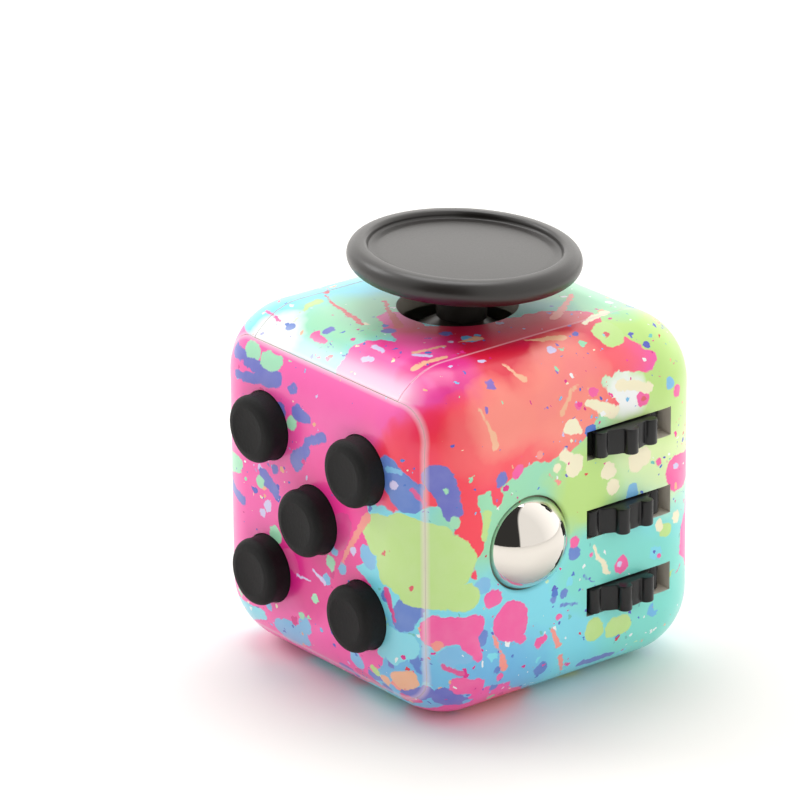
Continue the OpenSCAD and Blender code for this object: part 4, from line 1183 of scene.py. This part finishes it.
def make_wheels():
    for name, phase in zip(WHEELS, WHEEL_PHASES):
        lo, hi = node_box(f"wheel_{name}")
        middle = (lo + hi) / 2
        place = Matrix.Translation((middle.x, middle.y, 0)) @ Matrix.Rotation(math.radians(phase), 4, "Z")
        wheel = prism(f"{name}_thumbwheel", wheel_outline(), lo.z, hi.z, place)
        boolean(wheel, prism("bore", disc_outline(WHEEL_BORE, 48), lo.z - 1, hi.z + 1, place))
        bevel(wheel, 0.12, 3, 60)
        stand_for(crisp(wheel, 50), f"wheel_{name}")


def make_cap():
    """Thumb cap: a rounded rim round a sunken floor, tapering below to the stem."""
    crest = CAP_TOP
    floor = crest - 0.65
    outline = [(0, floor), (7.6, floor), (8.0, floor - 0.03), (8.25, floor - 0.07), (8.5, floor - 0.03)]
    outline += arc(8.5, floor + 0.22, 0.25, -90, 0, 5)[1:]
    outline += arc(9.15, crest - 0.4, 0.4, 180, 90, 6)
    outline += arc(CAP_R - 1.2, crest - 1.2, 1.2, 78, -70, 16)
    outline += [(CAP_R - 1.5, crest - 2.35), (8.2, crest - 2.5), (6.2, crest - 2.62), (4.6, crest - 2.95)]
    outline += arc(STEM_R + 1.1, crest - 4.3, 1.1, 85, 180, 7)
    outline += [(STEM_R, CAP_FOOT), (0, CAP_FOOT)]
    stand_for(crisp(lathe("thumb_cap", outline, STICK, 160), 50), "stick_cap")


def make_dial():
    """Finger dial: a dished disc with a raised rim and a knob near its edge."""
    lo = -node_box("dial")[1].x
    rim = HALF + 1.2
    outline = [(0, lo), (2, lo), (2, HALF - 0.7), (DIAL_R - 0.1, HALF - 0.7)]
    outline += arc(DIAL_R - 0.35, rim - 0.35, 0.35, 0, 90, 6)
    outline += arc(DIAL_R - 1.0, rim - 0.25, 0.25, 90, 180, 4)
    outline += arc(DIAL_R - 1.75, rim - 0.25, 0.5, 0, -90, 5)[1:]
    outline += [(0, rim - 0.75)]
    dial = lathe("finger_dial", outline, LEFT, 128)
    top = DIAL_HI
    knob = [(0, rim - 1.1), (2.2, rim - 1.1), (2.2, top - 0.6)] + arc(1.6, top - 0.6, 0.6, 0, 90, 6)
    knob += [(1.3, top - 0.02), (0.9, top - 0.16), (0.4, top - 0.22), (0, top - 0.24)]
    boolean(dial, lathe("knob", knob, LEFT @ shift(0, 4), 64), "UNION")
    stand_for(crisp(dial, 40), "dial")


def make_switch():
    """Rocker between its stops, and the frame that it sits in."""
    swing = math.radians(12)
    tilt = BACK @ shift(0, 0, 13.4) @ Matrix.Rotation(swing, 4, "X")
    reach_v, dip = 5.6, 3.0
    end = dip + reach_v * math.tan(swing)
    side = [(-reach_v, end), (0, dip), (reach_v, end), (reach_v, end - 1.6), (reach_v - 0.8, 0.2)]
    side += [(1, -0.8), (-1, -0.8), (-reach_v + 0.8, 0.2), (-reach_v, end - 1.6)]
    across = Matrix(((0, 0, 1, 0), (1, 0, 0, 0), (0, 1, 0, 0), (0, 0, 0, 1)))
    rocker = prism("rocker_key", side, -ROCKER_W / 2, ROCKER_W / 2, tilt @ across)
    bevel(rocker, 0.35, 4, 12)
    stand_for(crisp(rocker, 40), "rocker")

    frame_outer = round_outline(5.7, 8.5, 1, 6)
    bezel = prism("switch_frame", frame_outer, HALF + 0.01, HALF + 0.4, BACK)
    body = prism("switch_body", round_outline(5, 7.8, 0.6, 4), 8.6, HALF + 0.2, BACK)
    boolean(bezel, body, "UNION")
    boolean(bezel, prism("opening", round_outline(3.9, 6.65, 0.4, 4), 9.4, FAR, BACK))
    bevel(bezel, 0.14, 3)
    stand_for(crisp(bezel, 40), "switch_bezel")


make_camera()
light_studio()
make_floor()
make_roll_cover()
make_dial_cover()
make_shells()
make_panels()
make_thumb_dish()
make_buttons()
make_ball()
make_wheels()
make_cap()
make_dial()
make_switch()

for node, obj in frame["nodes"].items():
    obj.data.materials.clear()
    obj.data.materials.append(MATERIALS.get(SLOT_OF[node], MATERIALS["inside"]))
